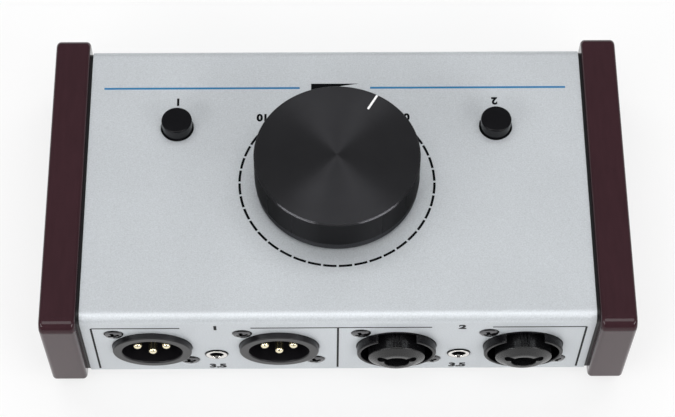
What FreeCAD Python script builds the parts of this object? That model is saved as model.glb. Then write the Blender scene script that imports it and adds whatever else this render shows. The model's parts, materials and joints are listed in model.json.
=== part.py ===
"""Passive desktop monitor controller: a wedge case between two wooden cheeks, with a volume
knob and two push buttons on the sloping top, and audio sockets on the rear panel.

Millimetres. +X is the user's right, +Y the rear, +Z up. The origin is on the table, under
the middle of the whole, from the front of the cheeks to the noses of the input sockets.
"""
import FreeCAD, Part
import math
import os
from FreeCAD import Placement, Rotation, Vector

# ---------------------------------------------------------------- driving dimensions
# Cover: one sheet bent into the front, the sloping top, the rear panel and two lips below
case_clearance = 4.0
cover_width = 133.6
cover_depth = 84.6
cover_rear_height = 38.0
top_slope_deg = 8.5
cover_sheet = 1.2
cover_bend_radius = 2.7
cover_lip_bend_radius = 1.5
cover_lip = 8.0

# Tray: a floor that lies on the cover's lips and two side walls that close the cover's ends
tray_sheet = 0.8
tray_wall_inset = 0.4

# Wooden cheeks
cheek_thickness = 9.4
cheek_proud_top = 1.5
cheek_proud_rear = 3.0
cheek_proud_front = 3.0
cheek_drop = 0.2
cheek_corner_radius = 3.0
cheek_edge_radius = 1.2

# Rubber feet, stuck to the tray's floor between the lips
foot_radius = 5.5
foot_taper = 0.8
foot_from_side = 9.3
foot_from_lip = 0.6

# Screws: shank and head of the small case screws
screw_radius = 1.4
screw_head_radius = 2.6
screw_head_height = 1.5
screw_head_dome = 0.7
screw_length = 8.0
screw_clearance = 0.1
cross_width = 0.8
cross_length = 3.0
cross_depth = 0.8
cover_screw_length = 3.6
cover_screw_spacing = 84.0
cheek_screw_height = 11.0
cheek_screw_from_end = 17.0

# Volume knob; places on the top are measured down the slope from the rear top edge
knob_from_rear = 42.1
knob_diameter = 43.8
knob_height = 12.1
knob_gap = 1.4
knob_chamfer = 0.5
knob_base_height = 2.6
knob_base_inset = 0.2
knob_recess_radius = 8.0
knob_crown = 1.5
pointer_length = 5.4
pointer_width = 0.6
pointer_depth = 0.3
grub_radius = 1.5
grub_length = 5.0
grub_socket_radius = 0.75
grub_socket_depth = 1.5

# Potentiometer: four gangs on one shaft
volume_travel_deg = 300.0
shaft_radius = 3.0
shaft_flat_depth = 1.5
shaft_tail_radius = 1.5
bushing_radius = 3.5
bushing_over_nut = 1.0
washer_radius = 6.0
washer_thickness = 0.5
nut_across_flats = 10.0
nut_thickness = 2.0
pot_side = 12.0
pot_plate = 1.5
pot_gangs = 4
gang_pitch = 4.6
gang_wall = 1.0
gang_floor = 1.0
track_width = 1.0
track_thickness = 0.3
rotor_radius = 4.0
rotor_thickness = 1.6
rotor_tab_deg = 28.0
stop_deg = 30.0
wiper_width = 0.5
terminal_width = 0.8
terminal_thickness = 0.4
terminal_pitch = 3.5
terminal_step = 1.4

# Push buttons and their switches
button_from_rear = 59.8
button_spacing = 86.0
button_travel = 2.2
cap_diameter = 8.2
cap_rise = 3.9
cap_length = 8.0
cap_edge_radius = 0.5
button_hole_diameter = 8.9
plunger_side = 3.9
plunger_in_cap = 4.0
plunger_flange = 5.7
plunger_flange_thickness = 1.2
switch_side = 8.5
switch_wall = 1.2
spring_wire_radius = 0.2
spring_wire_sides = 8
spring_radius = 2.2
spring_turns = 5
spring_spare = 1.25
pin_side = 0.6
switch_pin_pitch = 2.1

# Three-pin sockets: male outputs and combination inputs share the same front
socket_spacing = 33.5
socket_from_middle = 15.5
socket_from_top = 19.6
socket_body = 24.0
socket_collar_radius = 10.45
output_collar_rise = 1.5
socket_collar_edge = 0.3
socket_bore_radius = 7.95
output_body_depth = 20.0
output_cavity_depth = 15.0
contact_pitch = 7.62
contact_radius = 1.2
contact_setback = 0.7
contact_tip_radius = 0.7
tail_thickness = 1.0
socket_screw_offset_x = 9.5
socket_screw_offset_y = 9.8
socket_screw_length = 7.0
socket_screw_radius = 1.25
socket_screw_head_radius = 2.6
socket_screw_sink = 1.0
socket_screw_head_rise = 0.5

# Combination inputs
input_body_depth = 27.0
input_wall = 0.95
input_cavity_depth = 13.0
input_collar_rise = 2.3
input_insert_radius = 7.45
input_insert_base = 2.0
input_insert_rise = 3.3
input_nose_radius = 4.8
input_nose_rise = 1.3
input_notch_width = 10.0
input_key_width = 2.4
input_key_height = 1.0
input_back_wall = 1.2
jack_bore_radius = 3.3
jack_chamber_radius = 4.4
pin_hole_radius = 1.35
blade_width = 1.6
blade_thickness = 0.4
blade_clearance = 0.05
blade_web = 0.3
blade_setback = 4.0

# Small stereo jacks
mini_from_top = 25.0
mini_body_width = 8.0
mini_body_depth = 12.0
mini_body_over = 3.6
mini_hole_radius = 3.15
mini_barrel_radius = 2.95
mini_barrel_length = 4.8
mini_barrel_rise = 0.35
mini_barrel_edge = 0.25
mini_bore_radius = 1.8
mini_bore_depth = 12.0
mini_leaf_width = 1.2
mini_leaf_thickness = 0.25
mini_leaf_from_bore = 0.3
mini_leaf_setback = 6.0
mini_tail_width = 0.5

# Boards and what joins them
board_thickness = 1.6
tail_below_board = 1.2
connector_board_depth = 32.0
connector_board_side_gap = 2.8
connector_board_from_panel = 0.6
standoff_radius = 2.5
board_screw_from_rear = 21.0
control_board_width = 104.0
control_board_rear = 36.4
control_board_front = 71.4
control_standoff_spacing = 54.0
control_standoff_from_rear = 66.9
ribbon_width = 12.0
ribbon_thickness = 0.9
ribbon_bend_radius = 6.4
ribbon_rise = 8.0
ribbon_plug_height = 7.0
ribbon_plug_depth = 5.0
ribbon_plug_from_rear = 26.3

# Fits and cutter overrun
running_clearance = 0.05
fit_clearance = 0.05
pass_clearance = 0.15
past = 1.0

# ---------------------------------------------------------------- worked-out places
slope = math.radians(top_slope_deg)
half_width = cover_width / 2
wall_outer = half_width + tray_sheet
rear_reach = max(cheek_proud_rear, input_insert_rise + input_nose_rise)
rear_y = cover_depth / 2 + (cheek_proud_front - rear_reach) / 2
front_y = rear_y - cover_depth
middle_y = (rear_y + front_y) / 2
cover_bottom = case_clearance
floor_under = cover_bottom + cover_sheet
floor_top = floor_under + tray_sheet
top_z = cover_bottom + cover_rear_height
foot_x = half_width - foot_from_side - foot_radius
foot_from_middle = cover_depth / 2 - cover_lip - foot_from_lip - foot_radius
pointer_rest_deg = 270.0 - (360.0 - volume_travel_deg) / 2

knob_radius = knob_diameter / 2
knob_top = knob_gap + knob_height
nut_top = washer_thickness + nut_thickness
bushing_top = nut_top + bushing_over_nut
knob_recess_top = bushing_top + pass_clearance + running_clearance
shaft_top = knob_top - knob_crown
pot_top = -cover_sheet - pot_plate
pot_bottom = pot_top - pot_gangs * gang_pitch
board_top = pot_bottom - gang_floor
board_under = board_top - board_thickness
gang_bore = pot_side / 2 - gang_wall
track_inner = shaft_radius + 2 * pass_clearance
spring_closed = (spring_turns + 1) * 2 * spring_wire_radius
switch_room = pass_clearance + plunger_flange_thickness + button_travel + spring_closed + spring_spare
switch_height = 2 * switch_wall + switch_room

socket_z = top_z - socket_from_top
mini_z = top_z - mini_from_top
connector_board_top = socket_z - socket_body / 2
connector_board_under = connector_board_top - board_thickness
pin_rise = contact_pitch / 4
insert_face = -input_insert_rise
nose_face = insert_face - input_nose_rise
input_ring_radius = socket_collar_radius - input_wall
output_back = cover_sheet + output_body_depth
input_back = cover_sheet + input_body_depth
mini_back = cover_sheet + mini_body_depth
contact_places = [(-contact_pitch / 2, pin_rise), (contact_pitch / 2, pin_rise), (0.0, -pin_rise)]

PARTS = {}


# ---------------------------------------------------------------- shape helpers
def block(x0, x1, y0, y1, z0, z1):
    """A box between two corners, given as low and high along each axis."""
    return Part.makeBox(x1 - x0, y1 - y0, z1 - z0, Vector(x0, y0, z0))


def rod(radius, z0, z1, x=0.0, y=0.0):
    return Part.makeCylinder(radius, z1 - z0, Vector(x, y, z0))


def tube(outer, inner, z0, z1, x=0.0, y=0.0):
    return rod(outer, z0, z1, x, y).cut(rod(inner, z0 - past, z1 + past, x, y))


def joined(shapes):
    """Several touching solids made one."""
    return shapes[0].multiFuse(shapes[1:]).removeSplitter()


def sector(radius, z0, z1, middle_deg, width_deg):
    """A slice of a rod, centred on an angle counted from +X."""
    slice_ = Part.makeCylinder(radius, z1 - z0, Vector(0, 0, z0), Vector(0, 0, 1), width_deg)
    slice_.rotate(Vector(0, 0, 0), Vector(0, 0, 1), middle_deg - width_deg / 2)
    return slice_


def placed(shape, place):
    moved = shape.copy()
    moved.Placement = place.multiply(moved.Placement)
    return moved


def on_top(shape, x=0.0, from_rear=0.0):
    """Local x, y up the slope and z out of the sloping top, onto the case."""
    tilt = Placement(Vector(0, rear_y, top_z), Rotation(Vector(1, 0, 0), top_slope_deg))
    return placed(shape, tilt.multiply(Placement(Vector(x, -from_rear, 0), Rotation())))


def at_rear(shape, x, z):
    """Local x, y up and z into the case from the rear panel's outer face."""
    return placed(shape, Placement(Vector(x, rear_y, z), Rotation(Vector(1, 0, 0), 90)))


def rounded_edges(solid, radius, wanted):
    return solid.makeFillet(radius, [edge for edge in solid.Edges if wanted(edge)])


def case_height(y):
    """Height of the sloping top's outer plane at a depth y."""
    return top_z - (rear_y - y) * math.tan(slope)


def wedge(x0, x1, grow_top, grow_rear, grow_front, bottom):
    """The case's side outline, grown outwards on each face, as a prism along X."""
    rear = rear_y + grow_rear
    front = front_y - grow_front
    rise = grow_top / math.cos(slope)
    outline = [(rear, bottom), (rear, case_height(rear) + rise),
               (front, case_height(front) + rise), (front, bottom)]
    corners = [Vector(x0, y, z) for y, z in outline + outline[:1]]
    return Part.Face(Part.makePolygon(corners)).extrude(Vector(x1 - x0, 0, 0))


def is_bend(edge):
    """Whether an edge of a wedge runs along X, where the sheet is bent."""
    return edge.BoundBox.XLength > edge.BoundBox.YLength + edge.BoundBox.ZLength


def rounded_above_floor(prism, radius):
    return rounded_edges(prism, radius, lambda edge: is_bend(edge) and edge.CenterOfMass.z > floor_top)


def rounded_below_floor(prism, radius):
    return rounded_edges(prism, radius, lambda edge: is_bend(edge) and edge.CenterOfMass.z < floor_top)


def domed_head(radius, height):
    head = rod(radius, -height, 0)
    return rounded_edges(head, height * screw_head_dome, lambda edge: edge.CenterOfMass.z < -height / 2)


def cross_screw(pieces, head_height):
    """A cross-head screw made of its pieces: z = 0 is the seat's face and the shank runs to +z."""
    half_arm = cross_width / 2
    half_length = cross_length / 2
    low, high = -head_height - past, -head_height + cross_depth
    screw = joined(pieces)
    screw = screw.cut(block(-half_length, half_length, -half_arm, half_arm, low, high))
    return screw.cut(block(-half_arm, half_arm, -half_length, half_length, low, high))


def pan_screw(length):
    head = domed_head(screw_head_radius, screw_head_height)
    return cross_screw([head, rod(screw_radius, 0, length)], screw_head_height)


def countersink(clearance):
    wide = socket_screw_head_radius + clearance
    narrow = socket_screw_radius + clearance
    return Part.makeCone(wide, narrow, socket_screw_sink, Vector(0, 0, 0))


def socket_screw():
    head = domed_head(socket_screw_head_radius, socket_screw_head_rise)
    shank = rod(socket_screw_radius, 0, socket_screw_length)
    return cross_screw([head, countersink(0), shank], socket_screw_head_rise)


def facing(shape, x, y, z, axis, turn_deg):
    return placed(shape, Placement(Vector(x, y, z), Rotation(axis, turn_deg)))


# ---------------------------------------------------------------- places of repeated things
def sign_pairs():
    return [(sx, sy) for sx in (-1, 1) for sy in (-1, 1)]


def cover_screw_places():
    reach = cover_lip / 2
    return [(sx * cover_screw_spacing / 2, y)
            for sx in (-1, 1) for y in (front_y + reach, rear_y - reach)]


def cheek_screw_places():
    return [front_y + cheek_screw_from_end, rear_y - cheek_screw_from_end]


def socket_x():
    """Socket centres, numbered from left to right as seen from the rear."""
    inner = socket_from_middle
    outer = inner + socket_spacing
    return {"output_1": outer, "output_2": inner, "input_1": -inner, "input_2": -outer}


def mini_x():
    places = socket_x()
    return {"output_mini_jack": (places["output_1"] + places["output_2"]) / 2,
            "input_mini_jack": (places["input_1"] + places["input_2"]) / 2}


def socket_screw_places(x):
    return [(x + side * socket_screw_offset_x, socket_z + side * socket_screw_offset_y)
            for side in (-1, 1)]


def button_x():
    return {"mono": button_spacing / 2, "mute": -button_spacing / 2}


def standoff_places():
    minis = mini_x()
    y = rear_y - board_screw_from_rear
    return [(minis["input_mini_jack"], y), (0.0, y), (minis["output_mini_jack"], y)]


def ribbon_x():
    return mini_x()["output_mini_jack"]


def control_standoff_x():
    return [-control_standoff_spacing / 2, control_standoff_spacing / 2]


# ---------------------------------------------------------------- case
def top_cover():
    reach = half_width + past
    outer = wedge(-half_width, half_width, 0, 0, 0, cover_bottom)
    outer = rounded_above_floor(outer, cover_bend_radius)
    outer = rounded_below_floor(outer, cover_lip_bend_radius)
    inner = wedge(-reach, reach, -cover_sheet, -cover_sheet, -cover_sheet, floor_under)
    inner = rounded_above_floor(inner, cover_bend_radius - cover_sheet)
    inner = rounded_below_floor(inner, cover_lip_bend_radius - cover_sheet)
    window = block(-reach, reach, front_y + cover_lip, rear_y - cover_lip,
                   cover_bottom - past, floor_under + past)
    cutters = [inner, window]
    through = (-cover_sheet - past, past)
    cutters.append(on_top(rod(bushing_radius + screw_clearance, *through), 0, knob_from_rear))
    for x in button_x().values():
        cutters.append(on_top(rod(button_hole_diameter / 2, *through), x, button_from_rear))
    for x in socket_x().values():
        hole = rod(socket_collar_radius + pass_clearance, -past, cover_sheet + past)
        cutters.append(at_rear(hole, x, socket_z))
        for screw_x, screw_z in socket_screw_places(x):
            hole = rod(socket_screw_radius + screw_clearance, -past, cover_sheet + past)
            cutters.append(at_rear(hole.fuse(countersink(fit_clearance)), screw_x, screw_z))
    for x in mini_x().values():
        cutters.append(at_rear(rod(mini_hole_radius, -past, cover_sheet + past), x, mini_z))
    for x, y in cover_screw_places():
        cutters.append(rod(screw_radius + screw_clearance, cover_bottom - past,
                           floor_under + past, x, y))
    return outer.cut(cutters)


def base_tray():
    inside = cover_lip_bend_radius + fit_clearance
    pieces = [block(-wall_outer, wall_outer, front_y + inside, rear_y - inside, floor_under, floor_top)]
    inset = -tray_wall_inset
    for x0, x1 in ((-wall_outer, -half_width), (half_width, wall_outer)):
        wall = wedge(x0, x1, inset, inset, inset, floor_under)
        pieces.append(rounded_above_floor(wall, cover_bend_radius))
    cutters = []
    for x, y in cover_screw_places():
        cutters.append(rod(screw_radius + fit_clearance, floor_under - past, floor_top + past, x, y))
    for side in (-1, 1):
        for y in cheek_screw_places():
            hole = rod(screw_radius + screw_clearance, -past, tray_sheet + past)
            cutters.append(cheek_screw_placed(hole, side, y))
    return joined(pieces).cut(cutters)


def cheek_screw_placed(shape, side, y):
    """Local z out through the tray's wall, from the wall's inner face."""
    z = floor_top + cheek_screw_height
    return facing(shape, side * half_width, y, z, Vector(0, 1, 0), side * 90)


def cheek(side):
    x0, x1 = sorted((side * wall_outer, side * (wall_outer + cheek_thickness)))
    plank = wedge(x0, x1, cheek_proud_top, cheek_proud_rear, cheek_proud_front,
                  cover_bottom - cheek_drop)
    plank = rounded_edges(plank, cheek_corner_radius, is_bend)
    plank = plank.makeFillet(cheek_edge_radius, plank.Edges)
    pilots = [cheek_screw_placed(rod(screw_radius + fit_clearance, -past, screw_length + fit_clearance),
                                 side, y) for y in cheek_screw_places()]
    return plank.cut(pilots)


def cheek_screws():
    screw = pan_screw(screw_length)
    return [cheek_screw_placed(screw, side, y) for side in (-1, 1) for y in cheek_screw_places()]


def cover_screws():
    screw = pan_screw(cover_screw_length)
    return [facing(screw, x, y, cover_bottom, Vector(0, 0, 1), 0) for x, y in cover_screw_places()]


def rubber_feet():
    feet = []
    for sx, sy in sign_pairs():
        place = Vector(sx * foot_x, middle_y + sy * foot_from_middle, 0)
        feet.append(Part.makeCone(foot_radius - foot_taper, foot_radius, floor_under, place))
    return feet


# ---------------------------------------------------------------- volume knob and its shaft
def towards_pointer(shape):
    """Turn a shape drawn along +X to the direction that the pointer has at rest."""
    turned = shape.copy()
    turned.rotate(Vector(0, 0, 0), Vector(0, 0, 1), pointer_rest_deg)
    return turned


def flatted_rod(radius, z0, z1, flat_at):
    """A rod with one flat, its face at flat_at from the axis, towards the pointer."""
    waste = block(flat_at, radius + past, -radius - past, radius + past, z0 - past, z1 + past)
    return rod(radius, z0, z1).cut(towards_pointer(waste))


def chamfered_disc():
    disc = rod(knob_radius, knob_gap, knob_top)
    rims = [edge for edge in disc.Edges if edge.BoundBox.ZLength < fit_clearance]
    return disc.makeChamfer(knob_chamfer, rims)


def pointer_inlay():
    """A white line let into the knob's top, running out over the chamfer at the rim."""
    half = pointer_width / 2
    bar = block(knob_radius - pointer_length, knob_radius, -half, half, knob_top - pointer_depth, knob_top)
    return towards_pointer(bar.common(chamfered_disc()))


def grub_place():
    """Height of the grub screw's axis: the middle of the shaft's flat inside the knob."""
    return (knob_recess_top + shaft_top) / 2


def volume_knob():
    """A turned cap over a slightly narrower base ring, hollow round the nut."""
    waste = tube(knob_radius + past, knob_radius - knob_base_inset, knob_gap - past,
                 knob_gap + knob_base_height)
    recess = rod(knob_recess_radius, knob_gap - past, knob_recess_top)
    flat_at = shaft_radius - shaft_flat_depth
    bore = flatted_rod(shaft_radius + fit_clearance, knob_recess_top - past, shaft_top + fit_clearance,
                       flat_at + fit_clearance)
    hole = Part.makeCylinder(grub_radius + fit_clearance, knob_radius + past,
                             Vector(0, 0, grub_place()), Vector(1, 0, 0))
    return chamfered_disc().cut([waste, recess, bore, towards_pointer(hole), pointer_inlay()])


def knob_grub_screw():
    start = shaft_radius - shaft_flat_depth
    axis = Vector(1, 0, 0)
    screw = Part.makeCylinder(grub_radius, grub_length, Vector(start, 0, grub_place()), axis)
    socket = Part.makeCylinder(grub_socket_radius, grub_socket_depth + past,
                               Vector(start + grub_length - grub_socket_depth, 0, grub_place()), axis)
    return towards_pointer(screw.cut(socket))


def pot_shaft():
    plain_top = knob_recess_top - pass_clearance
    flat_at = shaft_radius - shaft_flat_depth
    return joined([
        rod(shaft_tail_radius, board_top, pot_bottom),
        rod(shaft_radius, pot_bottom, plain_top),
        flatted_rod(shaft_radius, plain_top, shaft_top, flat_at),
    ])


# ---------------------------------------------------------------- potentiometer
def gang_floors():
    return [pot_top - (number + 1) * gang_pitch for number in range(pot_gangs)]


def pot_bushing():
    half = pot_side / 2
    plate = block(-half, half, -half, half, pot_top, -cover_sheet)
    sleeve = rod(bushing_radius, -cover_sheet, bushing_top)
    bore = rod(shaft_radius + running_clearance, pot_top - past, bushing_top + past)
    return joined([plate, sleeve]).cut(bore)


def pot_washer():
    return tube(washer_radius, bushing_radius + fit_clearance, 0, washer_thickness)


def hexagon(across_flats, z):
    corner = across_flats / math.sqrt(3)
    angles = [k * math.pi / 3 for k in range(7)]
    return Part.Face(Part.makePolygon([Vector(corner * math.cos(angle), corner * math.sin(angle), z)
                                       for angle in angles]))


def pot_nut():
    nut = hexagon(nut_across_flats, washer_thickness).extrude(Vector(0, 0, nut_thickness))
    return nut.cut(rod(bushing_radius + fit_clearance, 0, nut_top + past))


def pot_cases():
    """Four cups, open upwards, each with an inward nub that stops the rotor's tab."""
    cases = []
    half = pot_side / 2
    for floor in gang_floors():
        cup = block(-half, half, -half, half, floor, floor + gang_pitch)
        cup = cup.cut([rod(gang_bore, floor + gang_floor, floor + gang_pitch + past),
                       rod(shaft_radius + pass_clearance, floor - past, floor + gang_pitch)])
        nub = sector(gang_bore + gang_wall / 2, floor + gang_floor + track_thickness + pass_clearance,
                     floor + gang_pitch, 270, stop_deg)
        nub = nub.cut(rod(rotor_radius + pass_clearance, floor, floor + gang_pitch + past))
        cases.append(joined([cup, nub]))
    return cases


def pot_tracks():
    return [tube(track_inner + track_width, track_inner, floor + gang_floor,
                 floor + gang_floor + track_thickness) for floor in gang_floors()]


def pot_rotors():
    """Discs that turn with the shaft, each with a stop tab and a wiper over its track."""
    rotors = []
    reach = gang_bore - pass_clearance
    for floor in gang_floors():
        top = floor + gang_pitch - pass_clearance
        low = top - rotor_thickness
        disc = rod(rotor_radius, low, top)
        tab = sector(reach, low, top, pointer_rest_deg, rotor_tab_deg)
        track_middle = track_inner + track_width / 2
        wiper_low = floor + gang_floor + track_thickness + running_clearance
        wiper = block(-track_middle - wiper_width / 2, -rotor_radius + wiper_width,
                      -wiper_width, wiper_width, wiper_low, low + rotor_thickness / 2)
        rotor = joined([disc, tab, towards_pointer(wiper)])
        rotors.append(rotor.cut(rod(shaft_radius, low - past, top + past)))
    return rotors


def pot_rear_plate():
    half = pot_side / 2
    plate = block(-half, half, -half, half, board_top, pot_bottom)
    return plate.cut(rod(shaft_tail_radius + running_clearance, board_top - past, pot_bottom + past))


def terminal_places():
    """x of each terminal, and for each gang how far its leg stands from the case."""
    places = []
    for gang, floor in enumerate(gang_floors()):
        for column in (-1, 0, 1):
            places.append((column * terminal_pitch, (pot_gangs - gang) * terminal_step, floor))
    return places


def pot_terminals():
    terminals = []
    half = pot_side / 2
    for x, stand, floor in terminal_places():
        arm_top = floor + gang_floor / 2
        x0, x1 = x - terminal_width / 2, x + terminal_width / 2
        arm = block(x0, x1, -half - stand, -half, arm_top - terminal_thickness, arm_top)
        leg = block(x0, x1, -half - stand, -half - stand + terminal_thickness,
                    board_under - tail_below_board, arm_top)
        terminals.append(joined([arm, leg]))
    return terminals


# ---------------------------------------------------------------- push buttons
def switch_top():
    return board_top + switch_height


def flange_top():
    return switch_top() - switch_wall - pass_clearance


def button_cap():
    cap = rod(cap_diameter / 2, cap_rise - cap_length, cap_rise)
    cap = rounded_edges(cap, cap_edge_radius, lambda edge: edge.BoundBox.ZMin > cap_rise - fit_clearance)
    half = plunger_side / 2 + fit_clearance
    low = cap_rise - cap_length
    return cap.cut(block(-half, half, -half, half, low - past, low + plunger_in_cap))


def plunger():
    rod_top = cap_rise - cap_length + plunger_in_cap
    half = plunger_side / 2
    wide = plunger_flange / 2
    top = flange_top()
    return joined([block(-half, half, -half, half, top, rod_top),
                   block(-wide, wide, -wide, wide, top - plunger_flange_thickness, top)])


def switch_body():
    half = switch_side / 2
    inside = half - switch_wall
    neck = plunger_side / 2 + pass_clearance
    body = block(-half, half, -half, half, board_top, switch_top())
    room = block(-inside, inside, -inside, inside, board_top + switch_wall, switch_top() - switch_wall)
    return body.cut([room, block(-neck, neck, -neck, neck, board_top + switch_wall, switch_top() + past)])


def spring_section():
    """The wire's many-sided section where the coil starts, square to the coil's first turn."""
    angles = [2 * math.pi * k / spring_wire_sides for k in range(spring_wire_sides + 1)]
    return Part.makePolygon([Vector(spring_radius + spring_wire_radius * math.cos(angle), 0,
                                    spring_wire_radius * math.sin(angle)) for angle in angles])


def return_spring():
    """Coil from the switch's floor to the underside of the plunger's flange."""
    low = board_top + switch_wall + spring_wire_radius
    high = flange_top() - plunger_flange_thickness - spring_wire_radius
    pitch = (high - low) / spring_turns
    path = Part.makeHelix(pitch, high - low, spring_radius)
    coil = Part.Wire(path).makePipeShell([spring_section()], True, True)
    coil.translate(Vector(0, 0, low))
    return coil


def switch_pin_places():
    """Six pins in two rows under a switch, relative to its middle."""
    return [(column * switch_pin_pitch, row * switch_pin_pitch)
            for row in (-1, 1) for column in (-1, 0, 1)]


def switch_pins():
    half = pin_side / 2
    pins = []
    for x in button_x().values():
        for px, py in switch_pin_places():
            pin = block(px - half, px + half, py - half, py + half, board_under - tail_below_board, board_top)
            pins.append(on_top(pin, x, button_from_rear))
    return pins


# ---------------------------------------------------------------- sockets
def tail(x, y, depth, thickness, width, board_depth):
    """A leg from a contact down through the board, behind the socket's body."""
    return block(x - width / 2, x + width / 2, board_depth - board_thickness - tail_below_board, y,
                 depth, depth + thickness)


def rounded_front(solid, depth, radius):
    """Round the edges that lie at one depth, on the side that faces out of the panel."""
    return rounded_edges(solid, radius, lambda edge: edge.BoundBox.ZMax < depth + fit_clearance)


def socket_front(body_depth, collar_rise):
    """Square body behind the panel with a round collar that stands out through it."""
    half = socket_body / 2
    body = block(-half, half, -half, half, cover_sheet, cover_sheet + body_depth)
    collar = rod(socket_collar_radius, -collar_rise, cover_sheet)
    collar = rounded_front(collar, -collar_rise, socket_collar_edge)
    screws = [rod(socket_screw_radius + fit_clearance, cover_sheet - past,
                  socket_screw_length + fit_clearance, side * socket_screw_offset_x,
                  side * socket_screw_offset_y) for side in (-1, 1)]
    return joined([body, collar]).cut(screws)


def output_shell():
    bore = rod(socket_bore_radius, -output_collar_rise - past, output_back + past)
    return socket_front(output_body_depth, output_collar_rise).cut(bore)


def output_insert():
    face = output_cavity_depth - output_collar_rise
    insert = rod(socket_bore_radius - fit_clearance, face, output_back)
    holes = [rod(contact_radius + fit_clearance, face - past, output_back + past, x, y)
             for x, y in contact_places]
    return insert.cut(holes)


def output_pins():
    pins = []
    for x, y in contact_places:
        tip = contact_setback - output_collar_rise
        end = output_back + tail_thickness
        pin = rod(contact_radius, tip, end, x, y)
        pin = rounded_front(pin, tip, contact_tip_radius)
        leg = tail(x, y, output_back, tail_thickness, tail_thickness, -socket_body / 2)
        pins.append(joined([pin, leg]))
    return pins


def blade_places():
    """Centre of each blade contact and whether it stands upright beside its pin hole."""
    beside_hole = blade_web + blade_clearance + blade_thickness / 2
    reach = pin_hole_radius + beside_hole
    low = jack_bore_radius + beside_hole
    (left_x, side_y), (right_x, _), _ = contact_places
    return [(left_x - reach, side_y, True), (right_x + reach, side_y, True), (0.0, -low, False)]


def blade(x, y, upright, z0, z1, clearance):
    half_thick = blade_thickness / 2 + clearance
    half_wide = blade_width / 2 + clearance
    half_x, half_y = (half_thick, half_wide) if upright else (half_wide, half_thick)
    return block(x - half_x, x + half_x, y - half_y, y + half_y, z0, z1)


def leaf_places():
    """Jack leaf springs stand around the plug's way: one over it and one on each side."""
    reach = (jack_bore_radius + jack_chamber_radius) / 2
    return [(-reach, 0.0, True), (reach, 0.0, True), (0.0, reach, False)]


def ring_depth():
    """Depth of the floor of the ring-shaped space around the insert."""
    return input_cavity_depth - input_collar_rise


def input_housing():
    front = -input_collar_rise - past
    body = socket_front(input_body_depth, input_collar_rise)
    base = ring_depth() + input_insert_base
    chamber_end = input_back - input_back_wall
    body = body.cut([rod(input_ring_radius, front, base),
                     rod(jack_chamber_radius, base - past, chamber_end)])
    half = input_notch_width / 2
    notch = block(-half, half, 0, socket_collar_radius + past, front, 0)
    slots = [blade(*place, base - past, input_back + past, blade_clearance) for place in blade_places()]
    slots += [blade(*place, chamber_end - past, input_back + past, blade_clearance)
              for place in leaf_places()]
    return body.cut([notch] + slots)


def input_insert():
    floor = ring_depth()
    base = floor + input_insert_base
    nose = Part.makeCone(input_nose_radius, input_insert_radius, input_nose_rise, Vector(0, 0, nose_face))
    key = block(-input_key_width / 2, input_key_width / 2, 0, input_insert_radius + input_key_height,
                insert_face + socket_collar_edge, floor)
    insert = joined([nose, rod(input_insert_radius, insert_face, floor),
                     rod(input_ring_radius - fit_clearance, floor, base), key])
    cutters = [rod(jack_bore_radius, nose_face - past, base + past)]
    cutters += [rod(pin_hole_radius, nose_face - past, floor, x, y) for x, y in contact_places]
    cutters += [blade(*place, insert_face + blade_setback - blade_clearance, base + past, blade_clearance)
                for place in blade_places()]
    return insert.cut(cutters)


def leg_row(number):
    """Depth of a row of contact legs behind the housing; the rows pass clear of each other."""
    return input_back + pass_clearance / 2 + number * (blade_thickness + pass_clearance)


def input_contacts():
    """Blades that meet the pins of a three-pin plug, with tails to the board."""
    blades = []
    leg_depth = leg_row(1)
    for x, y, upright in blade_places():
        strip = blade(x, y, upright, insert_face + blade_setback, leg_depth + blade_thickness, 0)
        low = y - (blade_width / 2 if upright else blade_thickness / 2)
        leg = tail(x, low + blade_thickness, leg_depth, blade_thickness, blade_thickness,
                   -socket_body / 2)
        blades.append(joined([strip, leg]))
    return blades


def input_jack_springs():
    """Leaf springs beside the way of a single-shaft plug, with tails to the board."""
    leaves = []
    start = ring_depth() + input_insert_base + pass_clearance
    for x, y, upright in leaf_places():
        leg_depth = leg_row(0) if upright else leg_row(2)
        strip = blade(x, y, upright, start, leg_depth + blade_thickness, 0)
        low = y - (blade_width / 2 if upright else blade_thickness / 2)
        leg = tail(x, low + blade_thickness, leg_depth, blade_thickness, blade_thickness,
                   -socket_body / 2)
        leaves.append(joined([strip, leg]))
    return leaves


def connector_screws():
    return [at_rear(socket_screw(), x, z) for centre in socket_x().values()
            for x, z in socket_screw_places(centre)]


# ---------------------------------------------------------------- small stereo jacks
def mini_leaf_places():
    reach = mini_bore_radius + mini_leaf_from_bore + mini_leaf_thickness / 2
    return [(-reach, 0.0, True), (reach, 0.0, True), (0.0, reach, False)]


def mini_leaf(x, y, upright, z0, z1, clearance):
    half_thick = mini_leaf_thickness / 2 + clearance
    half_wide = mini_leaf_width / 2 + clearance
    half_x, half_y = (half_thick, half_wide) if upright else (half_wide, half_thick)
    return block(x - half_x, x + half_x, y - half_y, y + half_y, z0, z1)


def mini_board_drop():
    return connector_board_top - mini_z


def mini_jack_body():
    half = mini_body_width / 2
    body = block(-half, half, mini_board_drop(), mini_body_over, cover_sheet, mini_back)
    barrel_end = mini_barrel_length - mini_barrel_rise
    cutters = [rod(mini_barrel_radius + fit_clearance, cover_sheet - past, barrel_end + fit_clearance),
               rod(mini_bore_radius, barrel_end, mini_bore_depth)]
    cutters += [mini_leaf(*place, mini_leaf_setback, mini_back + past, blade_clearance)
                for place in mini_leaf_places()]
    return body.cut(cutters)


def mini_jack_barrel():
    end = mini_barrel_length - mini_barrel_rise
    barrel = rod(mini_barrel_radius, -mini_barrel_rise, end)
    barrel = rounded_front(barrel, -mini_barrel_rise, mini_barrel_edge)
    return barrel.cut(rod(mini_bore_radius, -mini_barrel_rise - past, end + past))


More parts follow.
